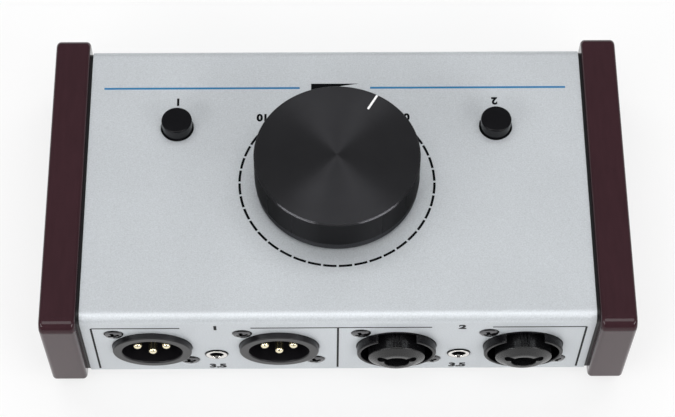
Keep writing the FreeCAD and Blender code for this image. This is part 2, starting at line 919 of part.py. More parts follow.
def mini_jack_contacts():
    leaves = []
    for x, y, upright in mini_leaf_places():
        strip = mini_leaf(x, y, upright, mini_leaf_setback + blade_clearance,
                          mini_back + blade_clearance + mini_leaf_thickness, 0)
        low = y - (mini_leaf_width / 2 if upright else mini_leaf_thickness / 2)
        leg = tail(x, low + mini_leaf_thickness, mini_back + blade_clearance, mini_leaf_thickness,
                   mini_tail_width, mini_board_drop())
        leaves.append(joined([strip, leg]))
    return leaves


# ---------------------------------------------------------------- boards
def tail_cutters(shapes):
    """Boxes a little larger than where each tail goes through the connector board."""
    cutters = []
    for shape in shapes:
        for solid in shape.Solids:
            slab = block(-wall_outer, wall_outer, front_y, rear_y, connector_board_under,
                         connector_board_top - fit_clearance)
            box = solid.common(slab).BoundBox
            if box.XLength > 0:
                cutters.append(block(box.XMin - pass_clearance, box.XMax + pass_clearance,
                                     box.YMin - pass_clearance, box.YMax + pass_clearance,
                                     connector_board_under - past, connector_board_top + past))
    return cutters


def connector_board(tails):
    half = half_width - connector_board_side_gap
    rear = rear_y - cover_sheet - connector_board_from_panel
    board = block(-half, half, rear - connector_board_depth, rear, connector_board_under,
                  connector_board_top)
    cutters = [rod(screw_radius + screw_clearance, connector_board_under - past,
                   connector_board_top + past, x, y) for x, y in standoff_places()]
    return board.cut(cutters + tail_cutters(tails))


def connector_standoffs():
    return [tube(standoff_radius, screw_radius + fit_clearance, floor_top, connector_board_under, x, y)
            for x, y in standoff_places()]


def control_board():
    """The board under the top, in the top's own tilted frame."""
    half = control_board_width / 2
    board = block(-half, half, -control_board_front, -control_board_rear, board_under, board_top)
    low, high = board_under - past, board_top + past
    cutters = [rod(screw_radius + screw_clearance, low, high, x, -control_standoff_from_rear)
               for x in control_standoff_x()]
    grow = pin_side / 2 + pass_clearance
    for x in button_x().values():
        for px, py in switch_pin_places():
            cx, cy = x + px, py - button_from_rear
            cutters.append(block(cx - grow, cx + grow, cy - grow, cy + grow, low, high))
    half_leg = terminal_width / 2 + pass_clearance
    for x, stand, _ in terminal_places():
        edge = -knob_from_rear - pot_side / 2 - stand
        cutters.append(block(x - half_leg, x + half_leg, edge - pass_clearance,
                             edge + terminal_thickness + pass_clearance, low, high))
    return board.cut(cutters)


def control_standoffs():
    return [tube(standoff_radius, screw_radius + fit_clearance, board_top, -cover_sheet, x,
                 -control_standoff_from_rear) for x in control_standoff_x()]


def board_screws():
    """Screws from above into the connector board's standoffs and from below into the others."""
    short = min(screw_length, connector_board_top - floor_top - fit_clearance)
    lower = pan_screw(short)
    screws = [facing(lower, x, y, connector_board_top, Vector(1, 0, 0), 180)
              for x, y in standoff_places()]
    upper = pan_screw(screw_length)
    for x in control_standoff_x():
        seat = Placement(Vector(x, -control_standoff_from_rear, board_under), Rotation())
        screws.append(on_top(placed(upper, seat)))
    return screws


# ---------------------------------------------------------------- ribbon between the boards
def top_frame_point(down_slope, height):
    """(y, z) in the case of a point given down the slope and out of the top."""
    return (rear_y - down_slope * math.cos(slope) - height * math.sin(slope),
            top_z - down_slope * math.sin(slope) + height * math.cos(slope))


def ribbon_route():
    """Start, top of the rise, far end of the bend and its centre, in the side view."""
    start = (rear_y - ribbon_plug_from_rear, connector_board_top + ribbon_plug_height)
    rise_end = (start[0], start[1] + ribbon_rise)
    centre = (rise_end[0] - ribbon_bend_radius, rise_end[1])
    far = (centre[0] - ribbon_bend_radius * math.cos(slope),
           centre[1] - ribbon_bend_radius * math.sin(slope))
    return start, rise_end, far, centre


def control_plug_down_slope():
    """How far down the slope the ribbon comes down on the control board."""
    _, _, far, _ = ribbon_route()
    dy, dz = far[0] - rear_y, far[1] - top_z
    return -(dy * math.cos(slope) + dz * math.sin(slope))


def ribbon_cable():
    start, rise_end, far, centre = ribbon_route()
    end = top_frame_point(control_plug_down_slope(), board_top + ribbon_plug_height)
    half = ribbon_thickness / 2
    x0 = ribbon_x() - ribbon_width / 2

    def run(y0, z0, y1, z1):
        length = math.hypot(y1 - y0, z1 - z0)
        strip = block(0, ribbon_width, -half, half, 0, length)
        angle = math.degrees(math.atan2(-(y1 - y0), z1 - z0))
        return facing(strip, x0, y0, z0, Vector(1, 0, 0), angle)

    bend = Part.makeCylinder(ribbon_bend_radius + half, ribbon_width, Vector(0, 0, 0), Vector(0, 0, 1),
                             180 + top_slope_deg)
    bend = bend.cut(rod(ribbon_bend_radius - half, -past, ribbon_width + past))
    bend = facing(bend, x0, centre[0], centre[1], Vector(1, 1, 1), 120)
    return joined([run(*start, *rise_end), bend, run(*far, *end)])


def ribbon_plugs():
    half_x = ribbon_width / 2 + past
    half_y = ribbon_plug_depth / 2
    plug = block(-half_x, half_x, -half_y, half_y, 0, ribbon_plug_height)
    start = ribbon_route()[0]
    lower = facing(plug, ribbon_x(), start[0], connector_board_top, Vector(1, 0, 0), 0)
    seat = Placement(Vector(ribbon_x(), -control_plug_down_slope(), board_top), Rotation())
    return [lower, on_top(placed(plug, seat))]


# ---------------------------------------------------------------- assembly
def keep(name, shapes):
    PARTS[name] = Part.makeCompound(shapes) if isinstance(shapes, list) else shapes


def add_case():
    keep("top_cover", top_cover())
    keep("base_tray", base_tray())
    keep("left_cheek", cheek(-1))
    keep("right_cheek", cheek(1))
    keep("cheek_screws", cheek_screws())
    keep("cover_screws", cover_screws())
    keep("rubber_feet", rubber_feet())


def add_volume():
    on_dial = {
        "volume_knob": volume_knob(), "pointer_inlay": pointer_inlay(),
        "knob_grub_screw": knob_grub_screw(), "pot_shaft": pot_shaft(), "pot_rotors": pot_rotors(),
        "pot_bushing": pot_bushing(), "pot_washer": pot_washer(), "pot_nut": pot_nut(),
        "pot_cases": pot_cases(), "pot_tracks": pot_tracks(), "pot_rear_plate": pot_rear_plate(),
        "pot_terminals": pot_terminals(),
    }
    for name, shapes in on_dial.items():
        if isinstance(shapes, list):
            keep(name, [on_top(shape, 0, knob_from_rear) for shape in shapes])
        else:
            keep(name, on_top(shapes, 0, knob_from_rear))


def add_buttons():
    for name, x in button_x().items():
        pieces = {"cap": button_cap(), "plunger": plunger(), "switch_body": switch_body(),
                  "return_spring": return_spring()}
        for piece, shape in pieces.items():
            keep(name + "_" + piece, on_top(shape, x, button_from_rear))
    keep("switch_pins", switch_pins())


def add_sockets():
    for name, x in socket_x().items():
        if name.startswith("output"):
            pieces = {"shell": [output_shell()], "insert": [output_insert()], "pins": output_pins()}
        else:
            pieces = {"housing": [input_housing()], "insert": [input_insert()],
                      "contacts": input_contacts(), "jack_springs": input_jack_springs()}
        for piece, shapes in pieces.items():
            keep(name + "_" + piece, [at_rear(shape, x, socket_z) for shape in shapes])
    keep("connector_screws", connector_screws())
    for name, x in mini_x().items():
        pieces = {"body": [mini_jack_body()], "barrel": [mini_jack_barrel()],
                  "contacts": mini_jack_contacts()}
        for piece, shapes in pieces.items():
            keep(name + "_" + piece, [at_rear(shape, x, mini_z) for shape in shapes])


def add_boards():
    tailed = ("_pins", "_contacts", "_jack_springs")
    tails = [shape for name, shape in PARTS.items() if name.endswith(tailed) and name != "switch_pins"]
    keep("connector_board", connector_board(tails))
    keep("connector_standoffs", connector_standoffs())
    keep("control_board", on_top(control_board()))
    keep("control_standoffs", [on_top(shape) for shape in control_standoffs()])
    keep("board_screws", board_screws())
    keep("ribbon_cable", ribbon_cable())
    keep("ribbon_plugs", ribbon_plugs())


def build():
    add_case()
    add_volume()
    add_buttons()
    add_sockets()
    add_boards()
    os.makedirs("parts", exist_ok=True)
    for name, shape in PARTS.items():
        shape.exportStep(os.path.join("parts", name + ".step"))
        print(name, len(shape.Solids), "solids", round(shape.Volume, 2), "mm3", shape.isValid())


build()
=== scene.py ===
"""Desktop monitor controller: a silver wedge case between two lacquered wooden cheeks.

The finished look of every piece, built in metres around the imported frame. +X is the user's
right, +Y the rear with its sockets, +Z up.
"""
import json
import math

import bmesh
import bpy
from bpy.props import FloatProperty, FloatVectorProperty, IntProperty, PointerProperty
from mathutils import Euler, Matrix, Vector


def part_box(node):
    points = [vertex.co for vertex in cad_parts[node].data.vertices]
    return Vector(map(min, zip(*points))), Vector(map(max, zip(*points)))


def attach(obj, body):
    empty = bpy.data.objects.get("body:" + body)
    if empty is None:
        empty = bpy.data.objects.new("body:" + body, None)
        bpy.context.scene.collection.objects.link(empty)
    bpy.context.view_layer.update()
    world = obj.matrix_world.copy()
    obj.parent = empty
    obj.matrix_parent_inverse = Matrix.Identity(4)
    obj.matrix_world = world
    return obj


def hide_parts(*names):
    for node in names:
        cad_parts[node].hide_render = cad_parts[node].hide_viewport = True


bl_info = {
    "name": "Desktop monitor controller",
    "version": (1, 0, 0),
    "blender": (4, 5, 0),
    "location": "3D View > Sidebar > Controller",
    "description": "Builds the case, cheeks, knob, buttons, sockets and finishes of a monitor controller",
    "category": "Object",
}

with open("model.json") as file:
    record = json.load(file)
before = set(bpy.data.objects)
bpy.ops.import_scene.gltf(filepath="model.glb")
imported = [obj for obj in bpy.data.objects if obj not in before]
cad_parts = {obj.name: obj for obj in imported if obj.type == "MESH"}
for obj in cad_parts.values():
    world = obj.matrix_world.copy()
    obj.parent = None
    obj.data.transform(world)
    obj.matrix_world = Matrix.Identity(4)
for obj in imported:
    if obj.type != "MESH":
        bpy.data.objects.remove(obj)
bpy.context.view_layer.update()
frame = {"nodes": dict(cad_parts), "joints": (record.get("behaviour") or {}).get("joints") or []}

MM = 0.001
TINY = 1e-7        # what is shorter counts as nothing
HAIR = 0.05 * MM   # a step too small to see
PAST = 1.0 * MM    # how far a cutter reaches beyond what it cuts
STROKE = 0.052     # how much the figures' strokes are thickened, as a share of their type size
CROSS_FOOT_LENGTH, CROSS_FOOT_WIDTH = 0.45, 0.6   # shares of a screw's cross left at its foot
SHARP_EDGE = math.radians(32.0)   # what bends more is shaded as an edge

# ---------------------------------------------------------------- places read from the frame
COVER_LOW, COVER_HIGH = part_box("top_cover")
REAR_Y = COVER_HIGH.y
FRONT_Y = COVER_LOW.y
HALF_WIDTH = COVER_HIGH.x
CASE_BOTTOM = COVER_LOW.z


def joint(name):
    return next(entry for entry in frame["joints"] if entry["name"] == name)


def width_of(node):
    low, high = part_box(node)
    return high.x - low.x


def middle_of(node):
    low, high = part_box(node)
    return (low + high) / 2


KNOB_POINT = Vector(joint("volume_turn")["pos_m"])
OUTWARD = -Vector(joint("volume_turn")["axis"])
SLOPE = math.atan2(-OUTWARD.y, OUTWARD.z)
TOP_Z = KNOB_POINT.z + (REAR_Y - KNOB_POINT.y) * math.tan(SLOPE)
KNOB_FROM_REAR = (REAR_Y - KNOB_POINT.y) / math.cos(SLOPE)
TOP_FRAME = Matrix.Translation((0.0, REAR_Y, TOP_Z)) @ Matrix.Rotation(SLOPE, 4, "X")
KNOB_RADIUS = width_of("volume_knob") / 2
OUTPUTS, INPUTS = ("output_1", "output_2"), ("input_1", "input_2")
SOCKETS = {name: middle_of(name + "_shell") for name in OUTPUTS}
SOCKETS |= {name: middle_of(name + "_housing") for name in INPUTS}
SOCKET_HALF = width_of("output_1_shell") / 2
MINI_JACKS = {name: middle_of(name + "_barrel") for name in ("output_mini_jack", "input_mini_jack")}
BUTTONS = {name: middle_of(name + "_cap").x for name in ("mono", "mute")}


def on_top(x, from_rear):
    """Local x to the user's right, y up the slope and z out of the sloping top."""
    return TOP_FRAME @ Matrix.Translation((x, -from_rear, 0))


def at_rear(x, z):
    """Local x to the right for someone behind the case, y up and z out of the rear panel."""
    return Matrix(((-1, 0, 0, x), (0, 0, 1, REAR_Y), (0, 1, 0, z), (0, 0, 0, 1)))


def at_opening(name):
    """The place of a socket or a small jack on the rear panel."""
    centre = (SOCKETS | MINI_JACKS)[name]
    return at_rear(centre.x, centre.z)


def length(name, millimetres, description):
    return FloatProperty(name=name, description=description, default=millimetres * MM,
                         min=0.0, precision=5, unit="LENGTH", subtype="DISTANCE")


def angle(name, degrees, description):
    return FloatProperty(name=name, description=description, default=math.radians(degrees),
                         subtype="ANGLE")


def amount(name, value, description, subtype="NONE"):
    return FloatProperty(name=name, description=description, default=value, min=0.0, subtype=subtype)


def colour(name, shade, description):
    return FloatVectorProperty(name=name, description=description, default=shade,
                               size=3, min=0.0, max=1.0, subtype="COLOR")


# ---------------------------------------------------------------- sizes and colours
class CaseSizes(bpy.types.PropertyGroup):
    sheet: length("Sheet", 1.2, "Thickness of the cover's sheet")
    bend: length("Bend radius", 2.7, "Outer radius of the bends above the floor")
    lip_bend: length("Lip bend radius", 1.5, "Outer radius of the bends into the lips")
    lip: length("Lip", 8.0, "Depth of each lip under the case")
    paint_edge: length("Painted edge", 0.12, "Softness that the paint gives to a cut edge")
    bushing_hole: length("Bushing hole", 7.2, "Diameter of the hole under the knob")
    button_hole: length("Button hole", 8.9, "Diameter of the hole round a button")
    button_from_rear: length("Buttons from the rear", 59.8, "Down the slope from the rear top edge")
    cover_screw_spacing: length("Lip screws apart", 84.0, "Between the screws of one lip")
    screw_hole: length("Lip screw hole", 3.0, "Diameter of the holes in the lips")
    cheek_corner: length("Cheek corner", 3.0, "Radius of a cheek's corners, seen from the side")
    cheek_round: length("Cheek rounding", 1.2, "Radius of the edges round a cheek's two faces")
    cheek_proud_top: length("Cheek above the cover", 1.5, "Square to the sloping top")
    foot: length("Foot", 5.5, "Radius of a foot at the case")
    foot_taper: length("Foot taper", 0.8, "How much narrower a foot is on the table")
    foot_round: length("Foot rounding", 0.5, "Radius of a foot's outer edge on the table")
    foot_hollow: length("Foot hollow", 3.3, "Radius of the shallow hollow under a foot")
    foot_hollow_lip: length("Hollow's lip", 0.3, "How much narrower the hollow is on the table")
    foot_hollow_depth: length("Hollow's depth", 0.3, "Depth of that hollow")
    foot_lip_round: length("Hollow's rounding", 0.2, "Radius of the hollow's edge on the table")


class ControlSizes(bpy.types.PropertyGroup):
    knob_gap: length("Knob gap", 1.4, "Between the cover and the knob's underside")
    knob_height: length("Knob height", 12.1, "Height of the knob itself")
    knob_base: length("Knob base", 2.6, "Height of the narrower ring under the knob's cap")
    knob_base_inset: length("Knob base inset", 0.2, "How much smaller that ring's radius is")
    knob_groove: length("Knob groove", 0.3, "Height and depth of the groove between ring and cap")
    knob_chamfer: length("Knob chamfer", 0.4, "Bright edge round the knob's top")
    knob_edge: length("Knob edge", 0.06, "Radius of the knob's sharp edges")
    knob_foot_round: length("Knob foot rounding", 0.3, "Radius of the ring's lower edge")
    knob_recess: length("Knob recess", 8.0, "Radius of the recess over the nut")
    knob_recess_top: length("Recess top", 3.7, "Height of the recess over the cover")
    shaft_hole: length("Shaft hole", 3.05, "Radius of the hole for the shaft")
    shaft_hole_top: length("Shaft hole top", 12.05, "Height of that hole's end over the cover")
    grub_hole: length("Grub screw hole", 1.55, "Radius of the hole for the grub screw")
    pointer: length("Pointer", 5.4, "Length of the white line from the rim inwards")
    pointer_width: length("Pointer width", 0.6, "Width of the white line")
    pointer_depth: length("Pointer depth", 0.3, "Depth of the line's groove")
    pointer_inset: length("Pointer inset", 0.1, "From the knob's rim to the line's outer end")
    pointer_sink: length("Pointer sink", 0.02, "From the knob's top down to the white fill")
    pointer_skin: length("Pointer skin", 0.03, "From the knob's side in to the white fill")
    cap_rise: length("Cap rise", 3.9, "Height of a button over the cover")
    cap_length: length("Cap length", 8.0, "Whole length of a button's cap")
    cap_round: length("Cap rounding", 0.5, "Radius of a cap's upper edge")
    cap_dome: length("Cap dome", 0.06, "How much a cap's middle stands over its rim")
    cap_foot_round: length("Cap foot rounding", 0.2, "Radius of a cap's lower edge")
    cap_socket: length("Cap socket", 3.9, "Side of the square socket under a cap")
    cap_socket_depth: length("Cap socket depth", 4.0, "Depth of that socket")


class SocketSizes(bpy.types.PropertyGroup):
    collar: length("Collar radius", 10.45, "Outer radius of each round collar")
    bore: length("Bore radius", 7.95, "Inner radius of an output's collar")
    hole_gap: length("Hole gap", 0.15, "Between a collar and the edge of its hole")
    body_depth_out: length("Output body", 20.0, "Depth of an output's body behind the panel")
    body_depth_in: length("Input body", 27.0, "Depth of an input's body behind the panel")
    body_round: length("Body rounding", 1.0, "Radius of the body's long edges")
    output_rise: length("Output rise", 1.5, "How far an output's collar stands out")
    input_rise: length("Input rise", 2.3, "How far an input's collar stands out")
    ring: length("Ring radius", 9.5, "Inner radius of an input's collar")
    ring_depth: length("Ring depth", 10.7, "Floor of the space round the insert, from the panel")
    insert_base: length("Insert base", 2.0, "Thickness of the insert's base")
    collar_root: length("Collar root", 0.5, "How far behind the cover's sheet a collar begins")
    collar_round: length("Collar rounding", 0.35, "Radius of a collar's front edge")
    bore_round: length("Bore rounding", 0.4, "Radius of the edge into an output's bore")
    ring_round: length("Ring rounding", 0.25, "Radius of the edge into an input's ring")
    insert: length("Insert radius", 7.45, "Radius of an input's insert")
    insert_rise: length("Insert rise", 3.3, "How far the insert's rim stands out")
    insert_round: length("Insert rounding", 0.35, "Radius of the insert's rim")
    nose: length("Nose radius", 4.8, "Radius of the insert's flat nose")
    nose_rise: length("Nose rise", 4.6, "How far the nose stands out")
    nose_round: length("Nose rounding", 1.6, "Radius of the bend from the slope to the flat nose")
    jack: length("Jack bore", 3.3, "Radius of the middle bore")
    eased: length("Eased edge", 0.2, "Radius of the small edges inside an input")
    pin_hole: length("Pin hole", 1.35, "Radius of a pin's hole")
    pin_hole_floor: length("Pin hole floor", 0.5, "From the ring's floor out to a pin hole's end")
    pin_pitch: length("Pin pitch", 7.62, "Between the two outer contacts")
    pin: length("Pin radius", 1.2, "Radius of an output's pin")
    pin_setback: length("Pin setback", 0.5, "From the collar's front to the pins' tips")
    pin_round: length("Pin rounding", 1.0, "Radius of a pin's rounded tip")
    leg: length("Leg thickness", 1.0, "Side of the square leg from a pin to the board")
    notch: length("Notch width", 10.0, "Width of the gap at the top of an input's collar")
    rib: length("Rib width", 0.5, "Width of each rib on the insert")
    rib_pitch: length("Rib pitch", 0.95, "Between two ribs on the insert")
    rib_height: length("Rib height", 1.0, "Height of the ribs on the insert")
    rib_root: length("Rib root", 0.6, "How far the ribs reach into the insert")
    rib_setback: length("Rib setback", 0.5, "From the insert's rim back to the ribs' ends")
    rib_foot: length("Rib foot", 0.1, "From the ring's floor out to the ribs")
    chamber: length("Chamber radius", 4.4, "Radius of the jack chamber behind the insert")
    back_wall: length("Back wall", 1.2, "Thickness of an input's back wall")
    screw_x: length("Screw offset", 9.5, "Sideways from a socket's centre")
    screw_y: length("Screw height", 9.8, "Up or down from a socket's centre")
    screw_head: length("Screw head", 2.6, "Radius of a socket screw's head")
    screw_shoulder: length("Screw shoulder", 0.35, "From a head's rim in to where its crown begins")
    screw_shoulder_rise: length("Screw shoulder rise", 0.3, "How far that shoulder stands out")
    screw_shoulder_round: length("Screw shoulder rounding", 0.25, "Radius of that shoulder")
    screw_flat: length("Screw flat", 0.9, "Radius of the flat middle of a head")
    screw_crown: length("Screw crown", 1.0, "Radius of the bend from the crown to the flat middle")
    screw_rim: length("Screw rim", 0.04, "Radius of a head's outer edge")
    screw_tip: length("Screw tip", 0.3, "Radius of the shank's end")
    screw_softness: length("Screw softness", 0.07, "Width that a screw's sharp edges lose")
    screw_rise: length("Screw rise", 0.5, "How far a screw's head stands out")
    screw_sink: length("Screw sink", 1.0, "Depth of the countersink")
    seat_gap: length("Seat gap", 0.22, "Between a screw's head and the edge of its countersink")
    screw_shank: length("Screw shank", 1.25, "Radius of a socket screw's shank")
    screw_length: length("Screw length", 7.0, "Length of a screw behind the panel's face")
    cross: length("Cross length", 3.9, "Length of the cross in a screw's head")
    cross_width: length("Cross width", 1.1, "Width of the cross's arms")
    cross_depth: length("Cross depth", 1.6, "Depth of the cross under the panel's face")
    cross_turn: angle("Cross turn", 20.0, "How far the cross is turned from level")
    mini: length("Small jack radius", 2.95, "Radius of a small jack's barrel")
    mini_bore: length("Small jack bore", 1.8, "Radius of a small jack's bore")
    mini_rise: length("Small jack rise", 0.35, "How far the small jack's nose stands out")
    mini_wall: length("Small jack wall", 0.12, "Thickness of the nose round the bright ring")
    mini_wall_setback: length("Small jack wall setback", 0.03, "From the ring's front to the wall's")
    mini_ring_depth: length("Small jack ring", 0.5, "Thickness of the bright ring in the nose")
    mini_ring_edge: length("Small jack ring edge", 0.06, "Radius of the ring's outer edge")
    mini_ring_round: length("Small jack ring rounding", 0.3, "Radius of the edge into the bore")
    mini_slot: length("Small jack slot", 0.9, "Width of the slot in the ring's lower side")
    mini_slot_end: length("Small jack slot end", 0.25, "What the slot leaves at the ring's outer edge")
    mini_length: length("Small jack barrel", 4.8, "Length of a small jack's barrel")
    mini_hole: length("Small jack hole", 3.15, "Radius of the panel's hole round it")


class PrintSizes(bpy.types.PropertyGroup):
    ink: length("Ink thickness", 0.03, "Height of the printed marks over the paint")
    dial: length("Dial radius", 25.94, "Radius of the dashed circle")
    dial_line: length("Dial line", 0.66, "Width of the dashed circle's line")
    dash_pitch: angle("Dash pitch", 9.0, "Angle from one dash to the next")
    dash_gap: angle("Dash gap", 1.3, "Angle left free between two dashes")
    dashes: IntProperty(name="Dashes", description="Dashes on each side of the rear", default=16)
    line_from_rear: length("Blue line", 72.6, "Down the slope from the rear top edge")
    line_start: length("Blue line start", 9.6, "From its middle to the inner end of each half")
    line_end: length("Blue line end", 62.9, "From its middle to the outer end of each half")
    line_width: length("Blue line width", 0.60, "Width of the blue line")
    line_shift: length("Blue line shift", 0.35, "From the case's middle to the printed line's middle")
    wedge_length: length("Wedge length", 13.0, "Length of the growing wedge in the line's gap")
    wedge_height: length("Wedge height", 2.2, "Height of that wedge at its wide end")
    wedge_drop: length("Wedge drop", 0.3, "From the blue line down the slope to the wedge's middle")
    figure: length("Figure size", 3.1, "Type size of the figures on the top")
    zero_aside: length("Zero aside", 19.0, "From the middle sideways to the scale's 0")
    ten_aside: length("Ten aside", 20.0, "From the middle sideways to the scale's 10")
    scale_from_rear: length("Scale's ends", 63.0, "Down the slope from the rear top edge")
    button_figure: length("Button figure", 8.4, "From a button's middle down the slope to its figure")
    rear_figure: length("Rear figure size", 3.8, "Type size of the figures on the rear panel")
    jack_figure: length("Jack figure", 34.3, "From the rear top edge down to the small jacks' figures")
    box_top: length("Box line", 5.5, "From the rear top edge down to the boxes' upper line")
    box_bottom: length("Box end", 35.6, "From the rear top edge down to the ends of the uprights")
    box_side: length("Box side", 64.3, "From their middle to the outer uprights")
    box_shift: length("Box shift", 0.2, "From the case's middle to the middle of the uprights")
    box_line: length("Box line width", 0.55, "Width of the boxes' lines")
    box_gap_middle: length("Box gap middle", 32.1, "From their middle to the middles of the two gaps")
    box_gap_output: length("Output gap", 18.4, "Width of the gap for the outputs' figure")
    box_gap_input: length("Input gap", 15.8, "Width of the gap for the inputs' figure")


class FinishColours(bpy.types.PropertyGroup):
    paint: colour("Silver paint", (0.573, 0.602, 0.628), "Cover")
    lacquer: colour("Lacquer", (0.0330, 0.0130, 0.0170), "Cheeks")
    anodised: colour("Black anodising", (0.048, 0.048, 0.052), "Knob")
    white: colour("White fill", (0.80, 0.80, 0.80), "Pointer")
    gloss_black: colour("Gloss black", (0.0055, 0.0055, 0.0066), "Buttons")
    shell: colour("Socket shell", (0.0060, 0.0055, 0.0070), "Output shells")
    black: colour("Moulded black", (0.0030, 0.0027, 0.0036), "Input housings and inner mouldings")
    insert: colour("Insert grey", (0.0030, 0.0030, 0.0036), "Input inserts")
    gold: colour("Pale gold", (0.92, 0.84, 0.60), "Pins")
    nickel: colour("Nickel", (0.80, 0.78, 0.75), "Small jacks")
    dark_chrome: colour("Dark chrome", (0.115, 0.115, 0.120), "Socket screws")
    ink_black: colour("Black ink", (0.0020, 0.0024, 0.0034), "Printed marks")
    ink_blue: colour("Blue ink", (0.022, 0.165, 0.350), "Printed line")


class StageSettings(bpy.types.PropertyGroup):
    camera_place: FloatVectorProperty(name="Camera", description="Where the camera stands",
                                      default=(0.004049, 0.258552, 0.615489), unit="LENGTH")
    camera_turn: FloatVectorProperty(name="Camera turn", description="Which way the camera looks",
                                     default=tuple(math.radians(a) for a in (23.4144, -0.2416, 179.6138)),
                                     subtype="EULER")
    lens: amount("Lens", 127.12, "Focal length in millimetres")
    floor_radius: length("Floor radius", 3000.0, "Radius of the pale floor")
    floor_white: amount("Floor white", 0.99, "Brightness of the floor")
    floor_share: amount("Floor shadow", 0.30, "Share of the floor that takes shadow", "FACTOR")
    sky_low: amount("Low sky", 0.20, "World brightness near the horizon")
    sky_high: amount("High sky", 0.27, "World brightness overhead")
    sky_low_end: amount("Low sky's end", 0.12, "Where the low sky ends, from 0, level, to 1, overhead")
    sky_high_start: amount("High sky's start", 0.60, "Where the high sky starts, on the same scale")
    key_power: amount("Key light", 7.3, "Soft light over the front", "POWER")
    top_power: amount("Top light", 4.3, "Soft light over the rear", "POWER")
    side_power: amount("Side lights", 2.8, "Strip lights at both rear corners", "POWER")
    glint_power: amount("Glints", 2.6, "What the side lights add to gloss alone", "POWER")


# ---------------------------------------------------------------- outlines and solids
def turned_by(vector, angle):
    cosine, sine = math.cos(angle), math.sin(angle)
    return Vector((vector.x * cosine - vector.y * sine, vector.x * sine + vector.y * cosine))


def rounded(corners, steps=6):
    """A closed outline from (x, y, radius) corners, each turned into an arc of its radius."""
    points = [Vector(corner[:2]) for corner in corners]
    outline = []
    for index, here in enumerate(points):
        radius = corners[index][2]
        if radius < TINY:
            outline.append(here)
            continue
        back = (points[index - 1] - here).normalized()
        onward = (points[(index + 1) % len(points)] - here).normalized()
        half = back.angle(onward) / 2
        centre = here + (back + onward).normalized() * radius / math.sin(half)
        start = here + back * radius / math.tan(half) - centre
        end = here + onward * radius / math.tan(half) - centre
        sweep = math.atan2(start.cross(end), start.dot(end))
        outline += [centre + turned_by(start, sweep * step / steps) for step in range(steps + 1)]
    return outline


def lathe(outline, steps):
    """The solid that a closed outline of (radius, height) sweeps about the z axis."""
    solid = bmesh.new()
    turns = [2 * math.pi * k / steps for k in range(steps)]
    rings = []
    for radius, height in outline:
        if radius < TINY:
            rings.append([solid.verts.new((0.0, 0.0, height))] * steps)
        else:
            rings.append([solid.verts.new((radius * math.cos(t), radius * math.sin(t), height))
                          for t in turns])
    for ring, following in zip(rings, rings[1:] + rings[:1]):
        for k in range(steps):
            after = (k + 1) % steps
            corners = dict.fromkeys((ring[k], ring[after], following[after], following[k]))
            if len(corners) > 2:
                solid.faces.new(list(corners))
    bmesh.ops.recalc_face_normals(solid, faces=solid.faces)
    return solid


def cylinder(radius, low, high, steps=64):
    return lathe([(0, low), (radius, low), (radius, high), (0, high)], steps)


def prism(outline, low, high):
    """A closed outline in x and y, drawn out from one height to another."""
    solid = bmesh.new()
    below = [solid.verts.new((x, y, low)) for x, y in outline]
    above = [solid.verts.new((x, y, high)) for x, y in outline]
    solid.faces.new(below)
    solid.faces.new(above)
    for k in range(len(outline)):
        after = (k + 1) % len(outline)
        solid.faces.new((below[k], below[after], above[after], above[k]))
    bmesh.ops.recalc_face_normals(solid, faces=solid.faces)
    return solid


def block(x0, x1, y0, y1, z0, z1):
    return prism([(x0, y0), (x1, y0), (x1, y1), (x0, y1)], z0, z1)


def moved(solid, place):
    bmesh.ops.transform(solid, matrix=place, verts=solid.verts)
    return solid


def mesh_of(solid, name):
    mesh = bpy.data.meshes.new(name)
    solid.to_mesh(mesh)
    solid.free()
    return mesh


def take_mesh(solid, mesh):
    """Add a mesh to a solid, and drop the mesh."""
    solid.from_mesh(mesh)
    bpy.data.meshes.remove(mesh)
    return solid


def gathered(solids):
    """Several solids in one mesh, as they lie."""
    whole = bmesh.new()
    for solid in solids:
        take_mesh(whole, mesh_of(solid, "part"))
    return whole


def linked(name, data):
    item = bpy.data.objects.new(name, data)
    bpy.context.scene.collection.objects.link(item)
    return item


def discard(item):
    """Remove an object with its own mesh or text."""
    data = item.data
    home = bpy.data.curves if isinstance(data, bpy.types.Curve) else bpy.data.meshes
    bpy.data.objects.remove(item)
    home.remove(data)


def final_mesh(item):
    """An object's mesh after its modifiers. The object itself is dropped."""
    bpy.context.view_layer.update()
    depsgraph = bpy.context.evaluated_depsgraph_get()
    mesh = bpy.data.meshes.new_from_object(item.evaluated_get(depsgraph))
    discard(item)
    return mesh


def combined(solid, others, operation):
    """A solid with others cut away (DIFFERENCE), grown on (UNION) or kept in common (INTERSECT)."""
    base = linked("base", mesh_of(solid, "base"))
    tool = linked("tool", mesh_of(gathered(others), "tool"))
    modifier = base.modifiers.new("combined", "BOOLEAN")
    modifier.operation = operation
    modifier.solver = "EXACT"
    modifier.use_self = True
    modifier.object = tool
    mesh = final_mesh(base)
    discard(tool)
    return take_mesh(bmesh.new(), mesh)


def carved(solid, *cutters):
    return combined(solid, cutters, "DIFFERENCE")


def grown(solid, *others):
    return combined(solid, others, "UNION")


def softened(solid, width, steps=2, sharper_than=30.0):
    """The same solid with its edges rounded off by a small bevel."""
    item = linked("softened", mesh_of(solid, "softened"))
    bevel = item.modifiers.new("edges", "BEVEL")
    bevel.width = width
    bevel.segments = steps
    bevel.limit_method = "ANGLE"
    bevel.angle_limit = math.radians(sharper_than)
    return take_mesh(bmesh.new(), final_mesh(item))


